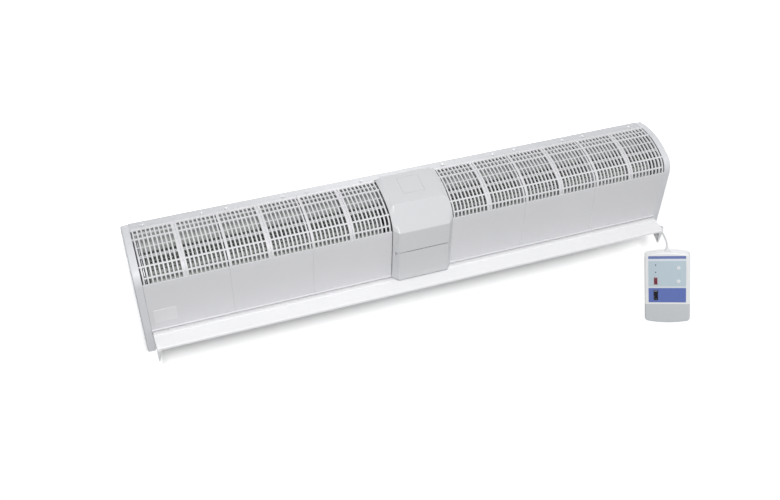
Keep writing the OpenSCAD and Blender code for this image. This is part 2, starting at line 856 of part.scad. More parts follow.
// Blade from the hinge eye: a level strip, then the wide sloping face and its turned edge
module deflector_blade() {
    t = blade_t;
    h = hinge_c;
    fold = h + [-blade_strip, blade_top - 0.5];
    tip = h + [-blade_reach, -blade_fall];
    color("white") difference() {
        union() {
            rod(-blade_end_x, 2 * blade_end_x, eye_d, h);
            along_x(-blade_end_x, 2 * blade_end_x) {
                polygon([h + [0, blade_top], fold, fold - [0, t], h + [0, blade_top - t]]);
                polygon([fold, tip, tip - [0, t], fold - [0, t]]);
                polygon([tip, tip - [0, 5], tip + [t, -5], tip + [t, 0]]);
            }
        }
        rod(-blade_end_x - 1, 2 * blade_end_x + 2, pin_d + 2 * running, h);
    }
}

// Right cheek: a flat plate, with a flange turned inward along its front edge below the blade
module cheek() {
    h = hinge_c;
    tip = h + [-blade_reach, -blade_fall];
    front_top = tip + [-1.5, -4];
    front_low = h + [-blade_reach + 12, -cheek_h];
    edge_l = norm(front_low - front_top);
    edge_turn = atan2(front_low[1] - front_top[1], front_low[0] - front_top[0]);
    color("white") {
        difference() {
            along_x(blade_end_x, blade_t) polygon([
                h + [3, blade_top], h + [-blade_strip, blade_top], tip + [12, 4], tip + [6, 9],
                tip + [-0.5, 9], front_top, front_low,
                front_low + [4, 0], h + [-17, -32], h + [0, -8], h + [4, -3]
            ]);
            rod(blade_end_x - 1, blade_t + 2, pin_d + 2 * running, h);
        }
        translate([blade_end_x + blade_t, front_top[0], front_top[1] + mount_drop]) rotate([edge_turn, 0, 0])
            translate([0, 0, 0.2]) linear_extrude(blade_t)
                polygon([[-0.5, 3], [-cheek_flange, 3], [-2.5, edge_l - 1], [-0.5, edge_l - 1]]);
    }
}

module left_cheek() { mirror([1, 0, 0]) cheek(); }
module right_cheek() { cheek(); }

module hinge_pins() {
    len = half_w + cap_w - skin - blade_end_x + 8;
    color("silver") for (side = [0, 1]) mirror([side, 0, 0]) rod(blade_end_x - 8, len, pin_d, hinge_c);
}

// ---- Cord and controller ----

module cord_gland() {
    outer = half_w + cap_w;
    color("dimgray") {
        rod(outer - 6, 6.5, cord_d + 4, gland_c);
        rod(outer + fit, 2, cord_d + 9, gland_c);
        translate([outer + 2, gland_c[0], gland_c[1] + mount_drop]) rotate([0, 90, 0])
            cylinder(d1 = cord_d + 6, d2 = cord_d + 2, h = gland_tip_x - outer - 2);
    }
}

function unit(v) = v / norm(v);
function cord_tangent(i) = i == len(cord_route) - 1 ? -ctrl_up
    : unit(cord_route[i + 1] - cord_route[max(i - 1, 0)]);
function cord_ring(i) =
    let (t = i == 0 ? [1, 0, 0] : cord_tangent(i), u = unit(cross(t, [0, 1, 0])), v = cross(u, t))
    [for (k = [0:cord_sides - 1])
        cord_route[i] + cord_d / 2 * (u * cos(k * 360 / cord_sides) + v * sin(k * 360 / cord_sides))];

module signal_cord() {
    rings = len(cord_route);
    points = [for (i = [0:rings - 1]) each cord_ring(i)];
    sides = [for (i = [0:rings - 2], k = [0:cord_sides - 1])
        let (a = i * cord_sides + k, b = i * cord_sides + (k + 1) % cord_sides)
        [a, b, b + cord_sides, a + cord_sides]];
    first = [for (k = [cord_sides - 1:-1:0]) k];
    last = [for (k = [0:cord_sides - 1]) (rings - 1) * cord_sides + k];
    color("white") polyhedron(points, concat(sides, [first, last]), convexity = 4);
}

// The controller's own frame: X across, -Y out of its face, Z up
module at_controller() {
    translate(ctrl_pos + [0, 0, mount_drop]) rotate([0, 0, ctrl_yaw]) rotate([ctrl_lean, 0, 0])
        rotate([0, ctrl_roll, 0]) children();
}

// A plate in the controller's frame, from the face depth y0 back by thickness t
module ctrl_plate(y0, t) {
    translate([0, y0 + t, 0]) rotate([90, 0, 0]) linear_extrude(t) children();
}

module ctrl_pin(x, z, y0, len, d) {
    translate([x, y0, z]) rotate([-90, 0, 0]) cylinder(d = d, h = len);
}

// Outline with bowed top and bottom edges and round corners, drawn in by inset
module ctrl_outline(inset = 0) {
    half = ctrl_w / 2;
    bow_r = (half * half + ctrl_bow * ctrl_bow) / (2 * ctrl_bow);
    r = ctrl_corner - inset;
    cx = half - ctrl_corner;
    cz = ctrl_h / 2 - bow_r + sqrt(pow(bow_r - ctrl_corner, 2) - cx * cx);
    tangent_x = cx * bow_r / (bow_r - ctrl_corner);
    for (sx = [-1, 1], sz = [-1, 1]) translate([sx * cx, sz * cz]) circle(r = r);
    square([2 * (half - inset), 2 * cz], center = true);
    intersection() {
        translate([0, ctrl_h / 2 - bow_r]) circle(r = bow_r - inset);
        translate([0, -ctrl_h / 2 + bow_r]) circle(r = bow_r - inset);
        square([2 * tangent_x * (bow_r - inset) / bow_r, ctrl_h], center = true);
    }
}

module switch_hole(z, h, grow, y0, depth) {
    w = rocker_w + 2 * switch_wall + 2 * grow;
    hh = h + 2 * switch_wall + 1 + 2 * grow;
    translate([lamp_x - w / 2, y0, z - hh / 2]) cube([w, depth, hh]);
}

module face_holes(grow) {
    switch_hole(power_z, power_rocker_h, grow, front_y - 5, 30);
    switch_hole(mode_z, mode_rocker_h, grow, front_y - 5, 30);
}

module control_bores(y0, depth) {
    for (z = [upper_button_z, lower_button_z]) ctrl_pin(button_x, z, y0, depth, button_d + 0.5);
    for (z = lamp_zs) ctrl_pin(lamp_x, z, y0, depth, lamp_d + 2 * fit);
}

module boot_bore() {
    translate([0, 0, ctrl_h / 2 - 12]) cylinder(d = cord_d + 5 + 2 * fit, h = 20);
}

module overlay_area(grow) {
    translate([-overlay_w / 2 - grow, ctrl_h / 2 - overlay_top - overlay_h - grow])
        square([overlay_w + 2 * grow, overlay_h + 2 * grow]);
}

module controller_front() {
    depth = ctrl_d / 2 - seam / 2;
    color("whitesmoke") at_controller() difference() {
        union() {
            difference() {
                ctrl_plate(front_y, depth) ctrl_outline();
                ctrl_plate(front_y + ctrl_wall, depth) ctrl_outline(ctrl_wall);
            }
            for (sx = [-1, 1], z = post_zs) ctrl_pin(sx * post_x, z, front_y + 1, depth - 1, 7);
            for (sx = [-1, 1], z = [-60, 76]) ctrl_pin(sx * 30, z, front_y + 1, board_y - front_y - 1, 5);
        }
        ctrl_plate(front_y - 1, 1 + overlay_t + fit) overlay_area(fit);
        face_holes(fit);
        control_bores(front_y - 2, ctrl_wall + 3);
        for (sx = [-1, 1], z = post_zs) ctrl_pin(sx * post_x, z, front_y + 4, ctrl_d, 2.9 + 2 * fit);
        boot_bore();
    }
}

module controller_back() {
    depth = ctrl_d / 2 - seam / 2;
    color("whitesmoke") at_controller() difference() {
        union() {
            difference() {
                ctrl_plate(seam / 2, depth) ctrl_outline();
                ctrl_plate(-1, depth + 1 - ctrl_wall) ctrl_outline(ctrl_wall);
            }
            for (sx = [-1, 1], z = post_zs) ctrl_pin(sx * post_x, z, seam / 2, depth - 1, 7);
        }
        for (sx = [-1, 1], z = post_zs) {
            ctrl_pin(sx * post_x, z, -1, ctrl_d, 2.9 + 2 * screw_gap);
            ctrl_pin(sx * post_x, z, ctrl_d / 2 - 2.4, 5, 6);
        }
        boot_bore();
    }
}

module controller_screws() {
    color("silver") at_controller() for (sx = [-1, 1], z = post_zs) {
        ctrl_pin(sx * post_x, z, ctrl_d / 2 - 2.4, 1.8, 5.4);
        ctrl_pin(sx * post_x, z, front_y + 5, ctrl_d - 7, 2.9);
    }
}

module controller_overlay() {
    color("lightsteelblue") at_controller() difference() {
        ctrl_plate(front_y, overlay_t) overlay_area(0);
        face_holes(fit);
        control_bores(front_y - 2, 5);
    }
}

module controller_board() {
    color("darkgreen") at_controller() {
        difference() {
            translate([-board_w / 2, board_y + fit, 26.5 - ctrl_h / 2]) cube([board_w, board_t, ctrl_h - 39]);
            face_holes(0.4);
        }
        for (z = [upper_button_z, lower_button_z]) {
            top = front_y + ctrl_wall + button_flange + button_travel + 0.4;
            translate([button_x - 3, top, z - 3]) cube([6, board_y + 0.5 - top, 6]);
        }
    }
}

// Housing of one rocker, flush with the face
module switch_body(z, h) {
    color("black") at_controller() difference() {
        switch_hole(z, h, 0, front_y - 0.3, switch_l);
        translate([lamp_x - rocker_w / 2 - 0.3, front_y - 1, z - h / 2 - 0.5])
            cube([rocker_w + 0.6, switch_l - 1, h + 1]);
        translate([lamp_x - rocker_w, rocker_axis_y, z]) rotate([0, 90, 0])
            cylinder(d = rocker_pin_d + 2 * fit, h = 2 * rocker_w, $fn = 24);
    }
}

// Rocker with a shallow V face and its two pivot pins, turned by tilt at rest
module rocker(z, h, tilt) {
    end_y = -3.6;
    at_controller() translate([lamp_x, rocker_axis_y, z]) rotate([tilt, 0, 0]) {
        translate([-rocker_w / 2, 0, 0]) rotate([90, 0, 90]) linear_extrude(rocker_w)
            polygon([
                [end_y, -h / 2 + 0.6], [-2.2, 0], [end_y, h / 2 - 0.6],
                [3.4, h / 2 - 4], [3.4, -h / 2 + 4]
            ]);
        translate([-rocker_w / 2 - 1.2, 0, 0]) rotate([0, 90, 0])
            cylinder(d = rocker_pin_d, h = rocker_w + 2.4, $fn = 24);
    }
}

module power_switch_body() { switch_body(power_z, power_rocker_h); }
module mode_switch_body() { switch_body(mode_z, mode_rocker_h); }
module power_rocker() { color("black") rocker(power_z, power_rocker_h, rocker_tilt); }
module mode_rocker() { color("firebrick") rocker(mode_z, mode_rocker_h, 0); }

module push_button(z) {
    color("white") at_controller() {
        ctrl_pin(button_x, z, front_y - 1.8, ctrl_wall + 2.6, button_d);
        ctrl_pin(button_x, z, front_y + ctrl_wall + fit, button_flange, button_d + 2.6);
    }
}

module upper_button() { push_button(upper_button_z); }
module lower_button() { push_button(lower_button_z); }

module status_lamps() {
    color("darkgreen") at_controller() for (z = lamp_zs) {
        ctrl_pin(lamp_x, z, front_y - 0.2, board_y - front_y + 0.2, lamp_d);
        translate([lamp_x, front_y - 0.2, z]) sphere(d = lamp_d);
    }
}

module controller_boot() {
    color("dimgray") at_controller() {
        translate([0, 0, ctrl_h / 2 - 8]) cylinder(d = cord_d + 5, h = 12);
        translate([0, 0, ctrl_h / 2 + 4]) cylinder(d1 = cord_d + 4.4, d2 = cord_d + 2, h = boot_l - 4);
    }
}

back_chassis();
left_end_cap();
right_end_cap();
cap_screws();
front_panel_1();
front_panel_2();
front_panel_3();
front_panel_4();
front_panel_5();
front_panel_6();
flange_screws();
label_plate();
centre_cover();
centre_lower_cover();
centre_hatch();
cover_screw();
centre_floor();
left_end_plate();
right_end_plate();
left_motor_wall();
right_motor_wall();
left_scroll();
right_scroll();
left_tongue();
right_tongue();
left_outlet_vanes();
right_outlet_vanes();
motor_body();
motor_bracket();
motor_shaft();
left_impeller();
right_impeller();
left_bearing();
right_bearing();
capacitor();
terminal_block();
control_board();
mains_grommet();
deflector_blade();
left_cheek();
right_cheek();
hinge_pins();
cord_gland();
signal_cord();
controller_boot();
controller_front();
controller_back();
controller_overlay();
controller_board();
power_switch_body();
power_rocker();
mode_switch_body();
mode_rocker();
upper_button();
lower_button();
status_lamps();
controller_screws();
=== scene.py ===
# A wall-hung air curtain with a wired hand controller, in metres.
# X runs along the housing, Y points into the wall and Z points up. After the camera, the
# cord and the light, the sections go from the back sheet and the fan to the panels, caps
# and cover in front of them, and then to the deflector below and the controller.

import math

import bmesh
import bpy
import numpy as np
from mathutils import Matrix, Vector


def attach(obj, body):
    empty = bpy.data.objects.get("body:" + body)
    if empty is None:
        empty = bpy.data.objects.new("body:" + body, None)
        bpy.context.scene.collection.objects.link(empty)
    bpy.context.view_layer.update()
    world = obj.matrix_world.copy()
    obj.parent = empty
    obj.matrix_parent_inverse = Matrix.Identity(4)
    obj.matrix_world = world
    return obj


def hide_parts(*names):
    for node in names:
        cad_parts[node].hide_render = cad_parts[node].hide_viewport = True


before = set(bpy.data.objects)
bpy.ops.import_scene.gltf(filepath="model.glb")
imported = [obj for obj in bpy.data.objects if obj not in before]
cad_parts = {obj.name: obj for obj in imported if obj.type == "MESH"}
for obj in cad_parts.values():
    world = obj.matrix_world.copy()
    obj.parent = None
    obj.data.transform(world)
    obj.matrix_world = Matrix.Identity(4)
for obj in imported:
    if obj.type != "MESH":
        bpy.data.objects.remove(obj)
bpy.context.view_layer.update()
scene = bpy.context.scene


def placed(name, data):
    """A new object in the scene."""
    made = bpy.data.objects.new(name, data)
    scene.collection.objects.link(made)
    return made


# ---- Camera ----
# The unit is seen from its left, from in front and from above, as somebody standing on
# a ladder would see it. Place, turn and focal length come from counting grille slots.

camera_place = (-0.6110, -1.7899, 1.0754)
camera_yaw, camera_pitch, camera_roll = np.radians([18.12, -32.654, -2.749])
focal_pixels = 972.16
frame_pixels = 780
middle_shift = (-0.00377, 0.01663)

camera_data = bpy.data.cameras.new("camera")
camera_data.sensor_width = 36
camera_data.lens = focal_pixels * camera_data.sensor_width / frame_pixels
camera_data.shift_x, camera_data.shift_y = middle_shift
camera_data.clip_start, camera_data.clip_end = 0.05, 50
camera = placed("camera", camera_data)
camera.matrix_world = (
    Matrix.Translation(camera_place) @ Matrix.Rotation(-camera_yaw, 4, "Z")
    @ Matrix.Rotation(math.pi / 2 + camera_pitch, 4, "X") @ Matrix.Rotation(camera_roll, 4, "Z")
)
scene.camera = camera

# ---- Signal cord, with its gland and its boot ----
# A thin white sheathed cord. It leaves a screwed gland in the right end cap, hangs down
# and goes into a flared rubber boot that is moulded round it on top of the controller.


def unit(vectors):
    """The same directions, each of length 1."""
    return vectors / np.linalg.norm(vectors, axis=-1, keepdims=True)


def reach_along(points):
    """How far along a line of points each of them is."""
    return np.concatenate([[0], np.cumsum(np.linalg.norm(np.diff(points, axis=0), axis=1))])


def grid_faces(rows, columns, closed=False):
    """Four-cornered faces between neighbouring rows and columns of a grid of points."""
    index = np.arange(rows * columns).reshape(rows, columns)
    if closed:
        index = np.hstack([index, index[:, :1]])
    corners = [index[:-1, :-1], index[1:, :-1], index[1:, 1:], index[:-1, 1:]]
    return np.stack(corners, -1).reshape(-1, 4)


def swept(rings, looped=False):
    """Rings of points joined side to side, and closed: by a flat face over the first and
    the last ring, or looped, by joining the last one back to the first."""
    rows, columns = np.shape(rings)[:2]
    first = np.arange(columns)
    last = first + (rows - 1) * columns
    ends = [first, last]
    if looped:
        ends = np.stack([last, np.roll(last, -1), np.roll(first, -1), first], -1)
    return np.reshape(rings, (-1, 3)), [*grid_faces(rows, columns, True), *ends]


def circle(sides, across, up):
    """Directions all the way round, from the direction across and the direction up."""
    turn = np.linspace(0, 2 * np.pi, sides, endpoint=False)[:, None]
    return np.cos(turn) * across + np.sin(turn) * up


def tube_along(path, radius, sides=16):
    """A circle carried along a path: its plane stays square to the path's direction."""
    ahead = unit(np.gradient(path, axis=0))
    side = unit(np.cross(ahead, [0.0, 1.0, 0.0]))
    up = np.cross(side, ahead)
    return swept(path[:, None] + radius * circle(sides, side[:, None], up[:, None]))


def turned(profile, place, axis, sides=40):
    """(distance along the axis, radius) pairs in millimetres, turned round the axis."""
    side = unit(np.cross(axis, [0.31, 0.24, 0.92]))
    along, radius = (np.array(profile) / 1000).T[..., None, None]
    round_axis = circle(sides, side, np.cross(axis, side))
    return swept(place + along * np.array(axis) + radius * round_axis)


def piece(name, shells, material, stands_for=(), body="housing", crisp=0.6):
    """One object from shells of points and faces, with doubles merged and faces outwards.

    Edges that turn more than crisp, in radians, stay sharp."""
    points, faces, start = [], [], 0
    for shell_points, shell_faces in shells:
        points.append(shell_points)
        faces += [tuple(int(i) + start for i in face) for face in shell_faces]
        start += len(shell_points)
    mesh = bpy.data.meshes.new(name)
    mesh.from_pydata(np.concatenate(points).tolist(), [], faces)
    work = bmesh.new()
    work.from_mesh(mesh)
    bmesh.ops.remove_doubles(work, verts=work.verts, dist=2e-6)
    bmesh.ops.recalc_face_normals(work, faces=work.faces)
    work.to_mesh(mesh)
    work.free()
    mesh.shade_smooth()
    mesh.set_sharp_from_angle(angle=crisp)
    mesh.materials.append(material)
    made = placed(name, mesh)
    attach(made, body)
    if stands_for:
        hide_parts(*stands_for)
    return made


def feed(group, value, target):
    """Gives an input its value: a link from a socket, or a plain number."""
    if isinstance(value, bpy.types.NodeSocket):
        group.links.new(value, target)
    else:
        target.default_value = value


def noise(group, place, scale, detail):
    """A noise texture in a group, read at a place, with its scale from a socket or number."""
    texture = group.nodes.new("ShaderNodeTexNoise")
    texture.inputs["Detail"].default_value = detail
    group.links.new(place, texture.inputs["Vector"])
    feed(group, scale, texture.inputs["Scale"])
    return texture.outputs["Fac"]


def calculated(group, operation, first, second):
    """The result of a sum on two sockets or numbers in a group."""
    node = group.nodes.new("ShaderNodeMath")
    node.operation = operation
    feed(group, first, node.inputs[0])
    feed(group, second, node.inputs[1])
    return node.outputs["Value"]


def mixed(group, share, first, second, blend="MIX"):
    """A colour made from two colour sockets, by a share from 0 to 1."""
    node = group.nodes.new("ShaderNodeMix")
    node.data_type, node.blend_type = "RGBA", blend
    for value, label in ((share, "Factor"), (first, "A"), (second, "B")):
        feed(group, value, node.inputs[label])
    return node.outputs["Result"]


def effect(name, inputs, pattern):
    """A node group with named inputs, and colour, roughness and height out.

    The pattern gives the share by which Colour goes over to Shade, what is added to
    Gloss, and the height, all from the object's own coordinates."""
    group = bpy.data.node_groups.new(name, "ShaderNodeTree")
    inputs = {"Colour": (0.8, 0.8, 0.8, 1), "Shade": (0.7, 0.7, 0.7, 1), "Gloss": 0.4, **inputs}
    for label, value in inputs.items():
        kind = "NodeSocketColor" if isinstance(value, tuple) else "NodeSocketFloat"
        socket = group.interface.new_socket(name=label, in_out="INPUT", socket_type=kind)
        socket.default_value = value
    outputs = {"Base Color": "Color", "Roughness": "Float", "Height": "Float"}
    for label, kind in outputs.items():
        group.interface.new_socket(name=label, in_out="OUTPUT", socket_type="NodeSocket" + kind)
    given, out = group.nodes.new("NodeGroupInput").outputs, group.nodes.new("NodeGroupOutput")
    place = group.nodes.new("ShaderNodeTexCoord").outputs["Object"]
    share, gloss_change, height = pattern(group, given, place)
    colour = mixed(group, share, given["Colour"], given["Shade"])
    gloss = calculated(group, "ADD", given["Gloss"], gloss_change)
    for label, socket in zip(outputs, (colour, gloss, height)):
        group.links.new(socket, out.inputs[label])
    return group


def moulded_pattern(group, given, place):
    """Slow drift between the colours under a fine grain, and gloss that varies with both."""
    drift = noise(group, place, given["Drift scale"], 4)
    grain = noise(group, place, given["Grain scale"], 2)
    share = calculated(group, "ADD", calculated(group, "MULTIPLY", drift, 0.8),
                       calculated(group, "MULTIPLY", grain, 0.2))
    swing = calculated(group, "SUBTRACT", share, 0.5)
    return share, calculated(group, "MULTIPLY", swing, given["Gloss spread"]), grain


moulded = effect("moulded surface", {
    "Drift scale": 9.0, "Grain scale": 1400.0, "Gloss spread": 0.1,
}, moulded_pattern)


def finish(name, group, settings, bump, shader_values):
    """A material: a group gives colour, roughness and height, and the shader keeps the rest."""
    material = bpy.data.materials.new(name)
    material.use_nodes = True
    nodes, links = material.node_tree.nodes, material.node_tree.links
    shader = nodes["Principled BSDF"]
    surface = nodes.new("ShaderNodeGroup")
    surface.node_tree = group
    raised = nodes.new("ShaderNodeBump")
    raised.inputs["Distance"].default_value = bump
    for label in ("Base Color", "Roughness"):
        links.new(surface.outputs[label], shader.inputs[label])
    links.new(surface.outputs["Height"], raised.inputs["Height"])
    links.new(raised.outputs["Normal"], shader.inputs["Normal"])
    for node, values in ((surface, settings), (shader, shader_values)):
        for label, value in values.items():
            node.inputs[label].default_value = value
    return material


def plastic(name, colour, gloss, grain=1400.0, bump=0.00002, spread=0.12, shade=0.94):
    """A moulded plastic in one colour, with a slightly darker shade that it drifts to."""
    return finish(name, moulded, {
        "Colour": (*colour, 1), "Shade": (*(shade * c for c in colour), 1),
        "Grain scale": grain, "Gloss": gloss, "Gloss spread": spread,
    }, bump, {"IOR": 1.46})


def metal(name, group, colour, shade, gloss, bump=0.00002, metallic=1.0):
    """A metal whose pattern runs between two colours."""
    return finish(name, group, {
        "Colour": (*colour, 1), "Shade": (*shade, 1), "Gloss": gloss,
    }, bump, {"Metallic": metallic})


def clothe(material, *nodes):
    """Gives CAD nodes that stay as they are their finish."""
    for node in nodes:
        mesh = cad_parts[node].data
        mesh.materials.clear()
        mesh.materials.append(material)


cord_thickness = 0.004
cord_route = np.array([
    (614, -72, -132), (618.5, -72, -132.3), (622, -72, -134), (624.8, -72, -137),
    (627.5, -72, -141), (630.6, -72, -145.7), (634, -72, -151), (637.6, -72, -156.6),
    (641.2, -72, -162.2), (644.8, -72, -167.8), (648.2, -72, -173.4), (651.6, -72, -179.4),
    (655, -72.2, -185.6), (658, -72.7, -192), (660.4, -73.7, -198.4), (661.9, -75.2, -204.8),
    (662.403, -76.706, -211.088),
]) / 1000


def smooth_line(points, parts=6):
    """A curve through the points: on each stretch, a cubic set by its four nearest points."""
    padded = np.vstack([2 * points[0] - points[1], points, 2 * points[-1] - points[-2]])
    p0, p1, p2, p3 = (padded[i:len(padded) - 3 + i, None] for i in range(4))
    t = np.linspace(0, 1, parts, endpoint=False)[None, :, None]
    curve = 0.5 * (
        2 * p1 + (p2 - p0) * t + (2 * p0 - 5 * p1 + 4 * p2 - p3) * t**2
        + (3 * p1 - p0 - 3 * p2 + p3) * t**3
    )
    return np.vstack([curve.reshape(-1, 3), points[-1:]])


cord_line = smooth_line(cord_route)
sheath_white = plastic("cord sheath", (0.82, 0.82, 0.83), 0.42, grain=2600.0)
signal_cord = piece("cord", [tube_along(cord_line, cord_thickness / 2)],
                    sheath_white, ["signal_cord"])

gland_profile = [
    (-3, 0.01), (-3, 4), (0.1, 4), (0.1, 6.3), (0.5, 6.6), (1.9, 6.6), (2.3, 6.2), (2.5, 4.9),
    (5.2, 4.4), (5.4, 3.9), (6.2, 3.9), (6.4, 4.2), (8.4, 3.8), (8.6, 3.3), (9.4, 3.3),
    (9.6, 3.6), (11.6, 3.2), (11.8, 2.8), (12.6, 2.8), (12.8, 3.0), (13.8, 2.6), (14, 2.05),
    (14, 0.01),
]
gland = piece("gland", [turned(gland_profile, (0.600, -0.072, -0.132), (1, 0, 0))],
              sheath_white, ["cord_gland"])

# The controller's own frame: X across it, -Y out of its face, Z up
controller_place = np.array([0.661, -0.100, -0.315])
controller_turn = np.array(
    Matrix.Rotation(math.radians(-33.5), 3, "Z")
    @ Matrix.Rotation(math.radians(-11), 3, "X")
    @ Matrix.Rotation(math.radians(-6.3), 3, "Y")
)


def on_controller(across, depth, height):
    """Points in the controller's frame, in millimetres, moved to their place in metres."""
    points = np.stack(np.broadcast_arrays(across, depth, height), -1)
    return controller_place + points / 1000 @ controller_turn.T


shell_half, shell_height, shell_bow, shell_corner, shell_depth = 54.5, 94.5, 6.0, 9.0, 14.0
boot_profile = [
    (-4, 0.01), (-4, 4.5), (-0.8, 4.5), (-0.5, 8.2), (0.1, 8.2), (0.7, 7.1), (1.7, 5.9),
    (3.2, 4.8), (5.2, 4.0), (7.8, 3.4), (10.6, 2.9), (11.8, 2.6), (12, 2.1), (12, 0.01),
]
boot = piece("boot", [turned(boot_profile, on_controller(0, 0, shell_height),
                             controller_turn @ [0, 0, 1])],
             sheath_white, ["controller_boot"])

# ---- Light, wall and floor ----
# A small bright lamp in front throws a short soft shadow on the wall, a wide one overhead
# lifts the upper faces, and a white room fills the rest. Wall and floor are white paper,
# seen from its front only. The wall's paper ends a hand below the deflector and is cut
# away round the controller and the left cap's foot, whose shadows a white ground hides.

scene.view_settings.view_transform = "Standard"

world = bpy.data.worlds.new("white room")
scene.world = world
world.use_nodes = True

# The room is bright where the camera, a reflection or glass shows it, and dim as a light
room_light, room_seen = 0.28, 1.05
room = world.node_tree
sky = room.nodes["Background"]
sky.inputs["Color"].default_value = (0.98, 0.99, 1.0, 1)
ray = room.nodes.new("ShaderNodeLightPath").outputs
shown = calculated(room, "MAXIMUM", ray["Is Camera Ray"], ray["Is Glossy Ray"])
shown = calculated(room, "MAXIMUM", shown, ray["Is Transmission Ray"])
extra = calculated(room, "MULTIPLY", shown, room_seen - room_light)
room.links.new(calculated(room, "ADD", extra, room_light), sky.inputs["Strength"])


def paper(name, whiteness):
    """White paper: so bright that only a shadow greys it, and clear from its back."""
    material = bpy.data.materials.new(name)
    material.use_nodes = True
    nodes, links = material.node_tree.nodes, material.node_tree.links
    nodes.remove(nodes["Principled BSDF"])
    matt = nodes.new("ShaderNodeBsdfDiffuse")
    matt.inputs["Color"].default_value = (whiteness, whiteness, whiteness, 1)
    front = nodes.new("ShaderNodeMixShader")
    links.new(nodes.new("ShaderNodeNewGeometry").outputs["Backfacing"], front.inputs["Fac"])
    links.new(matt.outputs[0], front.inputs[1])
    links.new(nodes.new("ShaderNodeBsdfTransparent").outputs[0], front.inputs[2])
    links.new(front.outputs[0], nodes["Material Output"].inputs["Surface"])
    return material


def paper_sheet(name, corners, material):
    """A flat sheet of paper that casts no shadow and throws no light on the unit."""
    mesh = bpy.data.meshes.new(name)
    mesh.from_pydata(corners, [], [range(len(corners))])
    mesh.materials.append(material)
    sheet = placed(name, mesh)
    sheet.visible_shadow = sheet.visible_diffuse = False


wall_y, wall_low, floor_z = 0.0015, -0.40, -1.1
wall_outline = [(-0.575, wall_low), (0.6, wall_low), (0.6, -0.265), (0.685, -0.265),
                (0.685, 3), (-0.61, 3), (-0.61, -0.215), (-0.575, -0.215)]
paper_sheet("wall", [(x, wall_y, z) for x, z in wall_outline], paper("wall paper", 1.6))
paper_sheet("floor", [(x, y, floor_z) for x, y in ((-4, -5), (4, -5), (4, wall_y), (-4, wall_y))],
            paper("floor paper", 1.7))


def soft_light(name, place, aim, size, power):
    """A square lamp at a place, turned to face a point."""
    data = bpy.data.lights.new(name, "AREA")
    data.size, data.energy = size, power
    lamp = placed(name, data)
    lamp.location = place
    away = lamp.location - Vector(aim)
    lamp.rotation_euler = away.to_track_quat("Z", "Y").to_euler()


soft_light("front lamp", (-0.6, -2.5, 1.9), (0, 0, -0.05), 0.45, 64)
soft_light("overhead lamp", (0.1, -0.6, 3.2), (0, -0.05, 0), 1.8, 14)
soft_light("side lamp", (2.4, -1.4, 1.4), (0.1, -0.05, -0.05), 1.0, 10)
soft_light("back lamp", (0.7, 2.7, 0.8), (0, 0, 0), 1.0, 30)

# ---- Back sheet ----
# One folded sheet of powder-coated steel with a flange along its top and another along
# its bottom. The fan, the motor and the panels are fixed to it, and it hangs on screws.

coat_white = plastic("powder coat", (0.62, 0.63, 0.65), 0.48, grain=900.0, bump=0.00004)
clothe(coat_white, "back_chassis")

black_rubber = plastic("black rubber", (0.022, 0.022, 0.023), 0.62, grain=900.0, shade=0.7)
clothe(black_rubber, "mains_grommet")

# ---- Fan inside ----
# Galvanised sheet for the plates, scrolls and tongues, grey moulded wheels on a turned
# shaft, and a black enamelled motor held against the back sheet by a bracket.


def flake_pattern(group, given, place):
    """Flakes of zinc: each cell of a cell pattern has its own grey and its own gloss."""
    flakes = group.nodes.new("ShaderNodeTexVoronoi")
    group.links.new(place, flakes.inputs["Vector"])
    group.links.new(given["Flake scale"], flakes.inputs["Scale"])
    grey = group.nodes.new("ShaderNodeSeparateColor")
    group.links.new(flakes.outputs["Color"], grey.inputs["Color"])
    rub = noise(group, place, 40.0, 5)
    share = calculated(group, "MULTIPLY", calculated(group, "ADD", grey.outputs["Red"], rub), 0.5)
    return share, calculated(group, "MULTIPLY", share, 0.2), rub


def lathe_pattern(group, given, place):
    """Fine lines round the work from noise stretched thin, over slow stains."""
    thin = group.nodes.new("ShaderNodeMapping")
    thin.inputs["Scale"].default_value = (30, 1, 1)
    group.links.new(place, thin.inputs["Vector"])
    lines = noise(group, thin.outputs["Vector"], 160.0, 3)
    stains = noise(group, place, 60.0, 4)
    share = calculated(group, "MULTIPLY", calculated(group, "ADD", lines, stains), 0.5)
    return share, calculated(group, "MULTIPLY", share, 0.25), lines


zinc_flakes = effect("zinc flakes", {"Flake scale": 110.0}, flake_pattern)
zinc = metal("galvanised sheet", zinc_flakes, (0.56, 0.58, 0.58), (0.36, 0.38, 0.38), 0.36)
clothe(zinc, "left_end_plate", "right_end_plate", "left_motor_wall", "right_motor_wall",
       "motor_bracket", "centre_floor")
dull_zinc = metal("dull duct sheet", zinc_flakes, (0.58, 0.60, 0.58), (0.50, 0.52, 0.50), 0.6,
                  metallic=0.2)
clothe(dull_zinc, "left_scroll", "right_scroll", "left_tongue", "right_tongue")
bright_steel = metal("zinc plated steel", effect("turned steel", {}, lathe_pattern),
                     (0.66, 0.66, 0.67), (0.46, 0.46, 0.48), 0.24, bump=0.00001)
clothe(bright_steel, "motor_shaft", "hinge_pins")

wheel_grey = plastic("wheel plastic", (0.54, 0.56, 0.53), 0.55, grain=700.0, shade=0.75)
clothe(wheel_grey, "left_impeller", "right_impeller", "left_outlet_vanes", "right_outlet_vanes")
clothe(black_rubber, "left_bearing", "right_bearing")

motor_enamel = plastic("motor enamel", (0.03, 0.032, 0.035), 0.36, grain=420.0, bump=0.0001)
clothe(motor_enamel, "motor_body")
clothe(plastic("capacitor case", (0.66, 0.66, 0.63), 0.4), "capacitor")
clothe(plastic("terminal ivory", (0.60, 0.56, 0.44), 0.45), "terminal_block")
board_green = plastic("coated laminate", (0.012, 0.075, 0.035), 0.3, grain=500.0, shade=0.6)
clothe(board_green, "control_board", "controller_board")

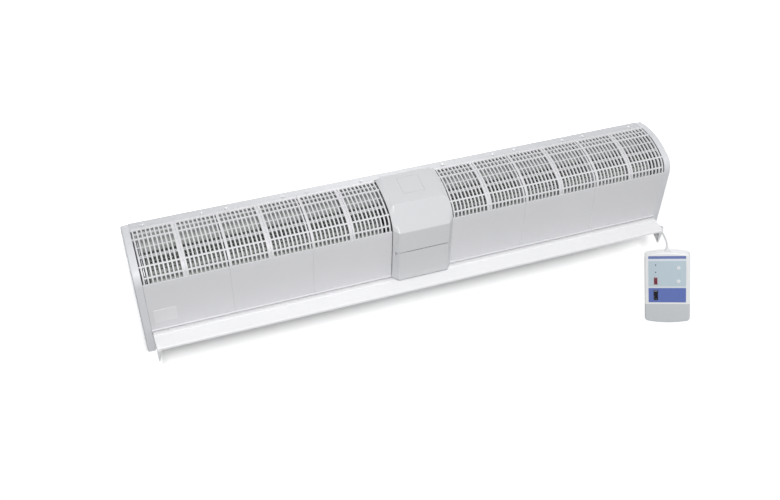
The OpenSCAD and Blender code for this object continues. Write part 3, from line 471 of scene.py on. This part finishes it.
# ---- Front panels ----
# Six moulded panels hook under the top flange and meet at fine seams. The upper part of
# each is a curved grille of short slots with cross bars and a rib behind every tenth
# slot, the lower part is plain, and a bead runs along the foot above the deflector.

housing_top = 104
bay_half, panel_width, panel_count, slot_pitch = 68.0, 172.0, 3, 8.6
housing_half = bay_half + panel_count * panel_width
side_starts = (-housing_half, bay_half)
foot_drop, body_height, skin, seam = -192.3, -248.0, 3.0, 0.05
grille_rib, plain_rib, rib_thick = 9, 4, 2

# The section's top edge runs level to the wide curve, the tight curve takes over, and the
# front leans back below it. Heights are below the top, and depths are from the wall.
curve_start, wide_radius, tight_radius = -25.0, 158, 40
wide_turn, lean = math.radians(37.5), math.radians(10.2)
front_start = (-136.2, -71.47)
wide_reach = wide_radius * math.tan(wide_turn / 2)
tight_reach = tight_radius * math.tan((math.pi / 2 + lean - wide_turn) / 2)
wide_corner = np.array([curve_start - wide_reach, 0.0])
tight_corner = wide_corner - (wide_reach + tight_reach) * np.array(
    [math.cos(wide_turn), math.sin(wide_turn)])


def rounded_path(corners, radii, closed=False, turn_step=0.06):
    """A line through corners, each replaced by an arc that touches both of its sides.

    Gives the points and the directions to the right of the line, which is outwards on
    an outline that runs anticlockwise."""
    corners = np.array(corners, float)
    ahead = unit(np.roll(corners, -1, 0) - corners)
    points, outward = [], []
    for i, (corner, radius) in enumerate(zip(corners, radii)):
        before, after = ahead[i - 1], ahead[i]
        if not closed and i in (0, len(corners) - 1):
            before = after = after if i == 0 else before
        turn = math.atan2(before[0] * after[1] - before[1] * after[0], before @ after)
        straight = abs(turn) < 1e-9
        count = 1 if straight else max(2, math.ceil(abs(turn) / turn_step) + 1)
        steps = np.linspace(0, turn, count)
        right = np.array([before[1], -before[0]])
        c, s = np.cos(steps)[:, None], np.sin(steps)[:, None]
        direction = c * right + s * [-right[1], right[0]]
        start = corner - before * radius * math.tan(abs(turn) / 2)
        bend = math.copysign(radius, turn)
        points.append(corner[None] if straight else start + bend * (direction - right))
        outward.append(direction)
    return np.concatenate(points), np.concatenate(outward)


def along_path(path, lengths):
    """Points and outward directions of a path at given lengths from its start."""
    points, outward = path
    reached = reach_along(points)
    at = [np.interp(lengths, reached, part) for part in (*points.T, *outward.T)]
    return np.stack(at[:2], -1), unit(np.stack(at[2:], -1))


def front_y(height, inset=0.0):
    """Depth of the sloping front at a height below the top."""
    return front_start[0] + (front_start[1] - height) * math.tan(lean) + inset


def front_section(lowest, turn_step):
    """The section from its top edge over both curves and down the front to a height."""
    return rounded_path([(curve_start, 0.0), wide_corner, tight_corner, (front_y(lowest), lowest)],
                        [0, wide_radius, tight_radius, 0], turn_step=turn_step)


def in_housing(along, outline):
    """Points in metres from millimetres along the housing and (depth, height) pairs."""
    x, y, z = np.broadcast_arrays(along, outline[..., 0], outline[..., 1])
    return np.stack([x, y, z + housing_top], -1) / 1000


def opened_lines(openings, edge):
    """Lines across a row of openings: 0 on the face, 1 on a rounded edge, 2 in a hole."""
    start, stop = np.array(openings).T
    lines = np.stack([start - edge, start, start, stop, stop, stop + edge], -1).ravel()
    return lines, np.tile([0, 1, 2, 2, 1, 0], len(start))


def pierced_sheet(along, outer, inner, depth_code, edge, place):
    """A sheet with holes. Its face is a grid of lines along and across; a point's depth
    is that of its code: on the face, rounded over by edge, or through to the inner face.
    Cells whose corners are all codes of 2 are left open."""
    thick = np.linalg.norm(outer - inner, axis=1)
    depth = np.choose(depth_code, [0.0, edge, thick])
    top = place(along[:, None], outer + depth[..., None] * unit(inner - outer))
    under = place(along[:, None], inner)
    faces = grid_faces(*depth_code.shape)
    kept = faces[(depth_code.ravel()[faces] != 2).any(1)]
    count = depth_code.size
    index = np.arange(count).reshape(depth_code.shape)
    rim = np.concatenate([index[0], index[1:, -1], index[-1, -2::-1], index[-2:0:-1, 0]])
    following = np.roll(rim, -1)
    walls = np.stack([rim, following, following + count, rim + count], -1)
    return (np.concatenate([top.reshape(-1, 3), under.reshape(-1, 3)]),
            np.concatenate([kept, kept[:, ::-1] + count, walls]))


cross_bars = [(21, 1.4), (36, 3.4), (60, 1.4), (81.4, 1.4), (84.8, 1.4), (104, 3.4), (128, 3.4)]
slot_span, slot_width, rib_slot_width, edge_round = (7.0, 142.0), 5.2, 2.6, 0.5


def openings_between(bars):
    """Stretches of the slots' span that bars, each a place and a width, leave open."""
    place, half = np.transpose(bars) * [[1], [0.5]]
    return np.stack([[slot_span[0], *(place + half)], [*(place - half), slot_span[1]]], -1)


slot_rows = openings_between(cross_bars)
end_rows = openings_between([cross_bars[1], cross_bars[5]])


def panel_lines():
    """The section's grid lines: outer and inner points, and the codes of both kinds of slot."""
    section = front_section(foot_drop, 0.03)
    edges, codes = opened_lines(slot_rows, edge_round)
    spare = np.concatenate([np.arange(0, 146, 4.0),
                            np.linspace(147.3, reach_along(section[0])[-1] - 8, 12)])
    spare = spare[np.abs(spare[:, None] - edges).min(1) > 0.6]

    def inside(lengths, rows):
        return ((lengths[:, None] > rows[:, 0]) & (lengths[:, None] < rows[:, 1])).any(1)

    lengths = np.concatenate([edges, spare])
    code = np.concatenate([codes, 2 * inside(spare, slot_rows)])
    end_code = np.where(inside(lengths, end_rows), 2, 0)
    for edge_line, edge_code in zip(*opened_lines(end_rows, edge_round)):
        same = (np.abs(lengths - edge_line) < 1e-6) & (code == edge_code)
        end_code[same] = edge_code
    order = np.argsort(lengths, kind="stable")
    outer, outward = along_path(section, lengths[order])
    # The bead and the foot's lip go on from the plain panel
    bead_rise, bead_radius, lip_reach = 2.4, 2.1, np.array([1.5, 4.0, 11.0])
    turn = np.radians(np.linspace(-80, 80, 9))
    bead = [front_y(foot_drop + bead_rise), foot_drop + bead_rise] - bead_radius * np.stack(
        [np.cos(turn), np.sin(turn)], -1)
    behind = np.stack([front_y(bead[:, 1], skin), bead[:, 1]], -1)
    lip = np.stack([front_y(foot_drop) + lip_reach, np.full(3, foot_drop)], -1)
    above = np.maximum(lip, [front_y(foot_drop, skin) + 0.2, foot_drop + bead_rise])
    plain = np.zeros(len(bead) + len(lip), int)
    return (np.concatenate([outer, bead, lip]),
            np.concatenate([outer - skin * outward, behind, above]),
            np.concatenate([code[order], plain]), np.concatenate([end_code[order], plain]))


panel_outer, panel_inner, slot_code, end_slot_code = panel_lines()
grille_end = int(np.searchsorted(-panel_outer[:, 1], -front_start[1]))
rib_foot = int(np.searchsorted(-panel_outer[:, 1], -foot_drop - 12))


def rib_behind(first, last, x0, x1, depth):
    """A rib on the inner face, between two grid lines and two places along the housing."""
    base = panel_inner[first:last]
    inward = unit(base - panel_outer[first:last])
    near, far = base - 0.4 * inward, base + depth * inward
    return swept(np.stack([in_housing(x, line) for x, line in (
        (x0, near), (x1, near), (x1, far), (x0, far))], 1))


panel_grey = plastic("panel plastic", (0.72, 0.72, 0.74), 0.42, grain=1100.0)


def front_panel(number, x0, ends_left, ends_right):
    """One panel from x0: slot lines, half slots where the panel ends a side, and narrow
    open-ended slots where it meets the next panel on its right."""
    slots = round(panel_width / slot_pitch) - 1
    width = np.full(slots, slot_width)
    width[slots // 2] = rib_slot_width
    middle = slot_pitch * np.arange(1, slots + 1)
    lines, codes = opened_lines(np.stack([middle - width / 2, middle + width / 2], -1), edge_round)
    half = slot_width / 2
    left = [(seam, 1), (seam + edge_round, 0)]
    if ends_left:
        left = [(seam, 2), (half, 2), (half, 1), (half + edge_round, 0)]
    joint = panel_width - (half if ends_right else rib_slot_width)
    right = [(joint - edge_round, 0), (joint, 1), (joint, 2), (panel_width - seam, 2)]
    (left_lines, left_codes), (right_lines, right_codes) = np.transpose(left), np.transpose(right)
    along = x0 + np.concatenate([left_lines, lines, right_lines])
    across = np.concatenate([left_codes, codes, right_codes]).astype(int)
    at_end = np.zeros(len(along), bool)
    at_end[:len(left)], at_end[-len(right):] = ends_left, ends_right
    rows = np.where(at_end[:, None], end_slot_code, slot_code)
    code = np.minimum(across[:, None], rows)
    for line, free in ((0, not ends_left), (-1, not ends_right)):
        code[line] = np.maximum(code[line], int(free))
    shells = [pierced_sheet(along, panel_outer, panel_inner, code, edge_round, in_housing)]
    centre = x0 + panel_width / 2
    last = x0 + panel_width - seam - (0 if ends_right else rib_slot_width)
    for start, stop, behind_grille in ((x0 + seam, x0 + seam + rib_thick, not ends_left),
                                       (centre - rib_thick, centre + rib_thick, True),
                                       (last - rib_thick, last, not ends_right)):
        if behind_grille:
            shells.append(rib_behind(1, grille_end, start, stop, grille_rib))
        shells.append(rib_behind(grille_end, rib_foot, start, stop, plain_rib))
    piece(f"panel_{number}", shells, panel_grey, [f"front_panel_{number}"])


for side, start in enumerate(side_starts):
    for k in range(panel_count):
        front_panel(1 + side * panel_count + k, start + k * panel_width,
                    k == 0, k == panel_count - 1)

# ---- Screws of the top flange, and the blank plate ----
# Zinc plated pan heads with a cross recess, two to a panel. The plate is a thin white
# film with round corners and no lettering, stuck on the plain part of panel 1.


def pan_head(place, axis, radius, height, sides=48):
    """A domed head: a flattened half ball with a cross cut down into its middle."""
    share = np.concatenate([np.linspace(0, 0.9, 13), [0.96, 1.0, 1.0]])
    rise = height * np.sqrt(1 - (share * 0.93)**2)
    rise[-1] = -0.3
    across, up = circle(sides, [1, 0], [0, 1]).T[:, None] * share[:, None]
    near, far = np.minimum(abs(across), abs(up)), np.maximum(abs(across), abs(up))
    cut = np.clip((0.13 - near) / 0.05, 0, 1) * np.clip((0.6 - far) / 0.12, 0, 1)
    rise = rise[:, None] - 0.55 * height * cut
    side = unit(np.cross(axis, [0.2, 0.5, 0.84]))
    other = np.cross(axis, side)
    offset = radius * (across[..., None] * side + up[..., None] * other)
    points = place + (offset + rise[..., None] * np.array(axis)) / 1000
    points[0] = points[0].mean(0)
    return swept(points)


def screw_heads(name, node, places, axes, radius, height):
    """Pan heads at places in metres, each along its axis, as one piece."""
    piece(name, [pan_head(place, axis, radius, height) for place, axis in zip(places, axes)],
          bright_steel, [node])


flange_y, flange_step = -17, 3 * slot_pitch
flange_x = np.array([start + k * panel_width + step for start in side_starts
                     for k in range(panel_count)
                     for step in (flange_step, panel_width - flange_step)])
screw_heads("flange_screw_heads", "flange_screws", in_housing(flange_x, np.array([flange_y, 0])),
            [(0, 0, 1)] * len(flange_x), 3.5, 2.2)


def flat_plate(outline, outward, steps, place):
    """A plate whose outline is drawn in by (depth, inset) steps from its back to its face."""
    return swept([place(depth, outline - inset * outward) for depth, inset in steps])


plate_low, plate_size, plate_x = -170.5, (46.0, 34.0), -housing_half + 9.5


def on_slope(depth, outline):
    """Points of the plate: across and up the slope, with the depth out of the panel."""
    across, up = outline.T
    y = front_y(plate_low) - up * math.sin(lean) - depth * math.cos(lean)
    z = plate_low + up * math.cos(lean) - depth * math.sin(lean)
    return in_housing(plate_x + across, np.stack([y, z], -1))


plate_outline = rounded_path([(0, 0), (plate_size[0], 0), plate_size, (0, plate_size[1])],
                             [2, 2, 2, 2], closed=True, turn_step=0.3)
piece("blank_plate", [flat_plate(*plate_outline, [(0, 0), (0.25, 0), (0.4, 0.15)], on_slope)],
      plastic("blank film", (0.77, 0.77, 0.78), 0.3, grain=600.0), ["label_plate"])

# ---- End caps ----
# Moulded caps close both ends, whiter than the panels and rounded over along their
# outer edge. Each is held by three screws through its outer face.

cap_outer, cap_wall, cap_round, cap_corner = housing_half + 16, 2.5, 3.0, 3.2
cap_outline = rounded_path(
    [(0, 0), wide_corner, tight_corner, (front_y(body_height), body_height), (0, body_height)],
    [cap_corner, wide_radius, tight_radius, cap_corner, cap_corner], closed=True,
)
cap_middle = np.array([-60.0, -125.0])


def rounded_edge(end, radius):
    """(depth, inset) steps over a rounded edge, up to a flat face at the end."""
    bend = np.radians(np.linspace(0, 90, 7))
    return [*zip(end - radius + radius * np.sin(bend), radius * (1 - np.cos(bend)))]


def end_cap(side):
    """Rings of the outline from the seam outwards, over the rounded edge and to the
    middle of the outer face, then back along the inside."""
    outline, outward = cap_outline
    seam_x = housing_half + 0.25
    steps = [(seam_x, cap_wall), (seam_x, 0.4), (seam_x + 0.4, 0),
             *rounded_edge(cap_outer, cap_round)]
    rings = [(x, outline - inset * outward) for x, inset in steps]
    for x, inset, shares in ((cap_outer, cap_round, (0.97, 0.6, 0.02)),
                             (cap_outer - cap_wall, cap_wall, (0.02, 0.6, 1.0))):
        drawn_in = outline - inset * outward - cap_middle
        rings += [(x, cap_middle + share * drawn_in) for share in shares]
    return swept([in_housing(side * x, ring) for x, ring in rings], looped=True)


cap_white = plastic("cap plastic", (0.715, 0.725, 0.75), 0.46, grain=1300.0)
for side, label in ((-1, "left"), (1, "right")):
    piece(f"{label}_cap", [end_cap(side)], cap_white, [f"{label}_end_cap"])
cap_screws = np.array([(-34, -20), (-106, -80), (-28, -214)])
screw_heads("cap_screw_heads", "cap_screws",
            [*in_housing(0.3 - cap_outer, cap_screws), *in_housing(cap_outer - 0.3, cap_screws)],
            [(-1, 0, 0)] * 3 + [(1, 0, 0)] * 3, 3.5, 1.1)

# ---- Centre cover ----
# A raised moulding over the motor bay. Its top slopes forward with a square hatch in it,
# its sides are bevelled down to the curve of the panels, and a seam parts its lower half.

cover_half, raised_half, cover_wall = 67.5, 56.0, 2.5
cover_rise, cover_break, cover_nose_z, cover_low = 10.0, (-114.0, -17.0), -68.0, -195.0
cover_proud, cover_seam, base_rise, base_reach = 13.0, -119.5, 2.0, 138
seam_dip = 0.0009
screw_place, screw_seat, well_radius = (-62.5, -123.5), 4.6, 3.1
cover_nose = (front_y(cover_nose_z, -cover_proud), cover_nose_z)
cover_foot = (front_y(cover_low, -cover_proud) - 5.5, cover_low)
hatch_from, hatch_to, hatch_reach, hatch_depth = 15.0, 62.0, 23.5, 1.2
back_wall = math.hypot(5.5, 13.5) - 0.7
hatch_lines = back_wall + np.array([hatch_from - 0.35, hatch_from - 0.3,
                                    hatch_to + 0.3, hatch_to + 0.35])
well_lines = np.linspace(-3.3, 3.3, 18)


def cover_paths(top_half):
    """Matching points of the raised outline and of the base outline, for one half."""
    raised = rounded_path([(-26.5, -3.5), (-32.0, cover_rise), cover_break, cover_nose, cover_foot],
                          [0, 2, 3, 2.5, 0], turn_step=0.15)[0]
    curve = front_section(cover_low, 0.05)
    reach = reach_along(raised)
    seam_at, *well = np.interp([-cover_seam, *(well_lines - screw_place[1])],
                               -raised[-2:, 1], reach[-2:])
    start, stop = (0, seam_at) if top_half else (seam_at, reach[-1])
    places = np.unique(np.concatenate([
        reach, np.arange(start, stop, 9), [start, stop, seam_at - 0.7, seam_at + 0.7],
        hatch_lines if top_half else well]).round(4))
    places = places[(places >= start - 1e-6) & (places <= stop + 1e-6)]
    upper = np.stack([np.interp(places, reach, part) for part in raised.T], -1)
    # On the front both outlines share their heights; above it the base follows the curve
    front_at = reach[np.argmin(abs(raised[:, 1] - cover_nose_z))]
    on_curve = np.interp(places, [0, 17, 103, front_at], [6, 12, 97, base_reach])
    lower, out = along_path(curve, on_curve)
    nose_height = np.interp(front_at, reach, raised[:, 1])
    base_height = along_path(curve, [base_reach])[0][0, 1]
    height = upper[:, 1] + (base_height - nose_height) * np.clip(
        (upper[:, 1] - cover_low) / (nose_height - cover_low), 0, 1)
    height = np.where(places >= seam_at - 30, upper[:, 1], height)
    straight = np.stack([front_y(height, -base_rise), height], -1)
    return places, upper, np.where((places > front_at)[:, None], straight, lower + base_rise * out)


def cover_shell(top_half):
    """Across the cover: flat, rounded over at the raised edge, then straight down the bevel.

    Both parts dip at the seam between them. The upper part has the hatch's recess sunk in
    it, and the lower part the screw's well."""
    places, upper, lower = cover_paths(top_half)
    t = np.linspace(0, 1, 5)
    round_from, down = raised_half - 2.2, 0.14
    bevel = cover_half - raised_half
    across = (1 - t)**2 * round_from + 2 * t * (1 - t) * raised_half + t**2 * (
        raised_half + down * bevel)
    flat_x = [hatch_reach + 0.25, hatch_reach + 0.3, 40.0]
    bevel_x = np.array([*([] if top_half else well_lines - screw_place[0]),
                        cover_half - 0.5, cover_half])
    half_x = np.concatenate([flat_x, across, bevel_x])
    half_drop = np.concatenate([[0, 0, 0], t**2 * down, (bevel_x - raised_half) / bevel])
    x = np.concatenate([-half_x[::-1], [0.0], half_x])
    share = np.concatenate([half_drop[::-1], [0.0], half_drop])
    points = upper + share[:, None, None] * (lower - upper)
    grid = in_housing(x[:, None], points)
    grid[np.abs(x) < raised_half - 2, -1 if top_half else 0, 1] += seam_dip
    if top_half:
        ends = upper[np.searchsorted(places, hatch_lines[1:3])]
        slope = unit(ends[0] - ends[1])
        inward = np.array([slope[1], -slope[0]])
        sunk = (np.abs(x) < hatch_reach + 0.28)[:, None] & (
            (places > hatch_lines[0] + 0.02) & (places < hatch_lines[3] - 0.02))
        grid[..., 1:] += sunk[..., None] * inward * (hatch_depth + 0.05) / 1000
    else:
        away = np.hypot(x[:, None] - screw_place[0], points[..., 1] - screw_place[1])
        seat = (front_y(screw_place[1]) - screw_seat) / 1000
        grid[..., 1] = np.where(away < well_radius, seat, grid[..., 1])
    return grid.reshape(-1, 3), grid_faces(len(x), len(places))


cover_grey = plastic("cover plastic", (0.66, 0.665, 0.68), 0.24, grain=1100.0)
bay_middle = Vector((0, -0.06, -0.02))
for name, node, top_half in (("cover", "centre_cover", True),
                             ("lower_cover", "centre_lower_cover", False)):
    cover = piece(name, [cover_shell(top_half)], cover_grey, [node], crisp=0.45)
    # An open sheet: its faces are turned away from the bay, and it gets its wall inwards
    if sum(face.normal @ (face.center - bay_middle) for face in cover.data.polygons) < 0:
        cover.data.flip_normals()
    wall = cover.modifiers.new("wall", "SOLIDIFY")
    wall.thickness, wall.offset, wall.use_even_offset = cover_wall / 1000, -1, True
clothe(cover_grey, "centre_hatch")

screw_y = front_y(screw_place[1]) - screw_seat - 0.1
screw_heads("cover_screw_head", "cover_screw",
            [in_housing(screw_place[0], np.array([screw_y, screw_place[1]]))],
            [(0, -1, 0)], 2.7, 1.5)

# ---- Outlet deflector ----
# A white powder-coated strip, hinged on two pins between the end caps. It has a level
# top strip between two pressed grooves, a wide face that falls to the front and a turned
# edge; a cheek with a flange along its front hangs beside the air stream at each end.

hinge = np.array([-107.0, -198.0])
blade_half, blade_thick, eye_radius = 581.5, 1.5, 3.5


def ribbon(path, thickness):
    """A strip of sheet: a line thickened to its left, carried along the blade."""
    points, outward = path
    loop = np.concatenate([points, (points - thickness * outward)[::-1]])
    rings = np.stack([in_housing(x, loop) for x in (-blade_half, blade_half)])
    count = len(points)
    low = np.arange(count - 1)
    far = 2 * count - 1 - low
    end = np.stack([low, low + 1, far - 1, far], -1)
    sides = grid_faces(2, 2 * count, True)
    return rings.reshape(-1, 3), np.concatenate([sides, end, end[:, ::-1] + 2 * count])


blade_path = rounded_path(
    hinge + [(0, 3.5), (-3.4, 3.4), (-3.8, 1.0), (-6.4, 0.9), (-6.8, 3.3), (-18.3, 3.05),
             (-18.7, 1.0), (-21.1, 0.8), (-21.6, 2.6), (-53.5, -6.0), (-53.9, -11.0)],
    [0, *[0.3] * 8, 2.5, 0], turn_step=0.1,
)
eye_turn = np.linspace(0, 2 * np.pi, 33)
eye_direction = np.stack([np.cos(eye_turn), np.sin(eye_turn)], -1)
eye_path = (hinge + eye_radius * eye_direction, eye_direction)
deflector_white = plastic("deflector coat", (0.87, 0.87, 0.88), 0.34, grain=900.0, bump=0.00003)
piece("blade", [ribbon(blade_path, blade_thick), ribbon(eye_path, 0.9)],
      deflector_white, ["deflector_blade"], body="deflector", crisp=0.5)

blade_tip = hinge + (-53.5, -6.0)
cheek_corners = np.array([
    hinge + (3, 3.5), hinge + (-20, 3.5), blade_tip + (12, 4), blade_tip + (6, 9),
    blade_tip + (-0.5, 9), blade_tip + (-1.5, -4), hinge + (-41.5, -47), hinge + (-37.5, -47),
    hinge + (-17, -32), hinge + (0, -8), hinge + (4, -3),
])
flange_top, flange_low = cheek_corners[5:7]
cheek_flange = 9.0


def front_flange(side):
    """The flange: a tapered strip square to the cheek, from below the blade to the tip."""
    down = unit(flange_low - flange_top)
    back = np.array([-down[1], down[0]]) * 1.5
    corners = [(flange_top + 3 * down, 0.5), (flange_top + 3 * down, cheek_flange - 0.1),
               (flange_low - down, 2.4), (flange_low - down, 0.5)]
    return swept([[in_housing(side * (blade_half + 1.5 - reach), place + shift)
                          for place, reach in corners] for shift in (0.2 * back, 1.1 * back)])


cheek_outline = rounded_path(cheek_corners, [1, 3, 3, 1.5, 1.5, 6, 1.8, 1.8, 12, 5, 1.5],
                             closed=True, turn_step=0.2)
cheek_steps = [(0, 0.3), (0.3, 0), (1.2, 0), (1.5, 0.3)]
for side, label in ((-1, "left"), (1, "right")):
    plate = flat_plate(*cheek_outline, cheek_steps,
                       lambda depth, outline: in_housing(side * (blade_half + depth), outline))
    piece(f"{label}_side_cheek", [plate, front_flange(side)],
          deflector_white, [f"{label}_cheek"], body="deflector")

# ---- Controller ----
# Two moulded shells held by four screws from behind. A printed film with coloured bands
# covers the face round two rockers, two push buttons and two lamps; below it the front
# shell has a wide plain field.

film_half, film_top, film_low, film_thick = 45.0, 85.5, -38.5, 0.5
shell_wall, shell_edge, nearly_shut = 2.5, 4.0, 0.02


def controller_outline(inset):
    """The outline by the direction it faces: corner arcs of one radius, and bowed edges
    above and below whose wide arcs touch the corners."""
    bow = (shell_half**2 + shell_bow**2) / (2 * shell_bow)
    corner_x = shell_half - shell_corner
    bow_z = shell_height - bow
    corner_rise = math.sqrt((bow - shell_corner)**2 - corner_x**2)
    meet = math.atan2(corner_rise, corner_x)
    turn = np.concatenate([np.linspace(0, meet, 10), np.linspace(meet, np.pi / 2, 14)[1:]])
    on_corner = (turn <= meet + 1e-9)[:, None]
    centre = np.where(on_corner, [corner_x, bow_z + corner_rise], [0.0, bow_z])
    radius = np.where(on_corner, shell_corner, bow)
    quarter = centre + (radius - inset) * np.stack([np.cos(turn), np.sin(turn)], -1)
    half = np.concatenate([quarter, (quarter * [-1, 1])[-2::-1]])
    return np.concatenate([half, -half])


def ring(depth, outline):
    """A ring of the controller at a depth behind the seam plane, moved to its place."""
    return on_controller(outline[:, 0], depth, outline[:, 1])


def shell_half_rings(side):
    """From the seam out to the face, over the rounded edge."""
    steps = [(0.2, shell_wall), (0.2, 0.5), (0.7, 0), *rounded_edge(shell_depth, shell_edge)]
    return [ring(side * depth, controller_outline(inset)) for depth, inset in steps]


opening = np.clip(controller_outline(shell_edge), (-film_half - 0.1, film_low - 0.1),
                  (film_half + 0.1, film_top + 0.1))
inner_outline = controller_outline(shell_wall)
front_rings = shell_half_rings(-1) + [
    ring(-shell_depth, opening), ring(-shell_depth + 3, opening),
    ring(-shell_depth + 3, opening * nearly_shut),
    ring(-shell_depth + 5.2, inner_outline * nearly_shut), ring(-shell_depth + 5.2, inner_outline),
]
back_face = controller_outline(shell_edge) * nearly_shut
back_rings = shell_half_rings(1) + [
    ring(shell_depth, back_face), ring(shell_depth - shell_wall, back_face),
    ring(shell_depth - shell_wall, inner_outline),
]
shell_white = plastic("controller plastic", (0.975, 0.98, 0.985), 0.34, grain=1500.0)
for label, rings in (("front", front_rings), ("back", back_rings)):
    piece(f"{label}_shell", [swept(rings, looped=True)], shell_white,
          [f"controller_{label}"], crisp=0.7)

# A sheet greyer than the shell, about 0.2 mm proud of it, covers the face below the film
field_bend = np.radians(np.linspace(0, 90, 7))
field_rings = [
    ring(depth, np.clip(controller_outline(inset), (-60, -100), (60, film_low - 4.5)))
    for depth, inset in zip(-9.9 - 4.3 * np.sin(field_bend), 4.1 - 4.25 * np.cos(field_bend))
]
piece("lower_field", [swept(field_rings)],
      plastic("greyer lower field", (0.68, 0.70, 0.72), 0.36, grain=1500.0))

screw_heads("controller_screw_heads", "controller_screws",
            [on_controller(x, shell_depth - 0.2, z) for x in (-45.5, 45.5) for z in (-76.5, 72.5)],
            [controller_turn @ [0, 1, 0]] * 4, 2.7, 0.9)

switch_x, button_x, button_places = -27.5, 26.8, (53.8, 18.0)
rocker_places = {"mode": (19.0, 19.0), "power": (-19.0, 23.0)}
rocker_width, bezel, pin_depth = 7.6, 1.5, 10.8


def film_sheet():
    """The film: a sheet with two square holes for the switches."""
    hole_half = rocker_width / 2 + bezel
    x_lines, x_code = opened_lines([(switch_x - hole_half, switch_x + hole_half)], 0.05)
    z_lines, z_code = opened_lines([(z - h / 2 - 2.0, z + h / 2 + 2.0)
                                    for z, h in sorted(rocker_places.values())], 0.05)
    x = np.concatenate([[-film_half], x_lines, [film_half]])
    z = np.concatenate([[film_low], z_lines, [film_top]])
    code = np.minimum(np.pad(x_code, 1)[:, None], np.pad(z_code, 1))
    outer = np.stack([np.full(len(z), -shell_depth - 0.02), z], -1)
    return pierced_sheet(x, outer, outer + [film_thick, 0], code, 0.05,
                         lambda along, outline: on_controller(along, *np.moveaxis(outline, -1, 0)))


def film_finish():
    """Printed film: flat bands by height up the film, read from its UV map, with the
    moulded surface's fine grain in its gloss."""
    material = finish("printed film", moulded, {
        "Gloss": 0.34, "Gloss spread": 0.1, "Grain scale": 1800.0,
    }, 0.00001, {"IOR": 1.46})
    tree = material.node_tree
    nodes, links = tree.nodes, tree.links
    place = nodes.new("ShaderNodeUVMap")
    place.uv_map = "film"
    along = nodes.new("ShaderNodeSeparateXYZ")
    links.new(place.outputs["UV"], along.inputs["Vector"])
    bands = nodes.new("ShaderNodeValToRGB")
    bands.color_ramp.interpolation = "CONSTANT"
    links.new(along.outputs["Y"], bands.inputs["Fac"])
    stops = bands.color_ramp.elements
    colours = [(0.0, (0.13, 0.19, 0.52)), (0.312, (0.80, 0.86, 0.88)), (0.344, (0.60, 0.71, 0.78)),
               (0.894, (0.84, 0.90, 0.98)), (0.938, (0.17, 0.23, 0.50))]
    while len(stops) < len(colours):
        stops.new(0.5)
    for stop, (position, colour) in zip(stops, colours):
        stop.position, stop.color = position, (*colour, 1)
    shader = nodes["Principled BSDF"]
    drift = shader.inputs["Base Color"].links[0].from_socket
    mottled = mixed(tree, 0.12, bands.outputs["Color"], drift, "MULTIPLY")
    links.new(mottled, shader.inputs["Base Color"])
    return material


film = piece("film", [film_sheet()], film_finish(), ["controller_overlay"])
film_points = np.array([vertex.co for vertex in film.data.vertices])
local = (film_points - controller_place) @ controller_turn * 1000
share_up = (local[:, [0, 2]] - [-film_half, film_low]) / [2 * film_half, film_top - film_low]
film_uv = film.data.uv_layers.new(name="film")
for corner in film.data.loops:
    film_uv.data[corner.index].uv = share_up[corner.vertex_index]

# Rockers tip on a pin in a black or a pale frame; their faces are a shallow V with rounded ends
switch_black = plastic("switch plastic", (0.012, 0.011, 0.016), 0.5, grain=1500.0, shade=0.7)
switch_black.node_tree.nodes["Principled BSDF"].inputs["Specular IOR Level"].default_value = 0.15
mode_red = plastic("red rocker plastic", (0.19, 0.012, 0.035), 0.26, grain=1500.0, shade=0.85)
clothe(switch_black, "power_switch_body")
clothe(plastic("bezel plastic", (0.70, 0.68, 0.70), 0.4, grain=1500.0), "mode_switch_body")


def rocker(label, tilt, material):
    """A rocker's side outline, turned by its tilt about its pin, carried across it."""
    z, height = rocker_places[label]
    corners = [(3.4, 4 - height / 2), (3.4, height / 2 - 4), (-3.6, height / 2), (-2.2, 0),
               (-3.6, -height / 2)]
    outline, outward = rounded_path(corners, [0.5, 0.5, 0.9, 10, 0.9], closed=True, turn_step=0.2)
    c, s = math.cos(math.radians(tilt)), math.sin(math.radians(tilt))
    rings = []
    for x, inset in ((-3.8, 0.35), (-3.45, 0), (3.45, 0), (3.8, 0.35)):
        y, up = (outline - inset * outward).T
        rings.append(on_controller(switch_x + x, y * c - up * s - pin_depth, y * s + up * c + z))
    piece(f"{label}_rocker_cap", [swept(rings)], material, [f"{label}_rocker"],
          body=f"{label}_rocker")


rocker("power", 7, switch_black)
rocker("mode", 0, mode_red)

button_white = plastic("button plastic", (0.88, 0.90, 0.92), 0.3, grain=1500.0)
button_profile = [
    (-1.75, 0.01), (-1.75, 5.8), (-0.75, 5.8), (-0.75, 4.5), (1.1, 4.5), (1.5, 4.35), (1.75, 4.0),
    (1.8, 3.5), (1.6, 2.0), (1.5, 0.01),
]
for label, height in zip(("upper", "lower"), button_places):
    place = on_controller(button_x, -shell_depth, height)
    piece(f"{label}_button_cap", [turned(button_profile, place, controller_turn @ [0, -1, 0])],
          button_white, [f"{label}_button"], body=f"{label}_button")

clothe(plastic("lamp lens", (0.02, 0.05, 0.04), 0.15, shade=0.8), "status_lamps")
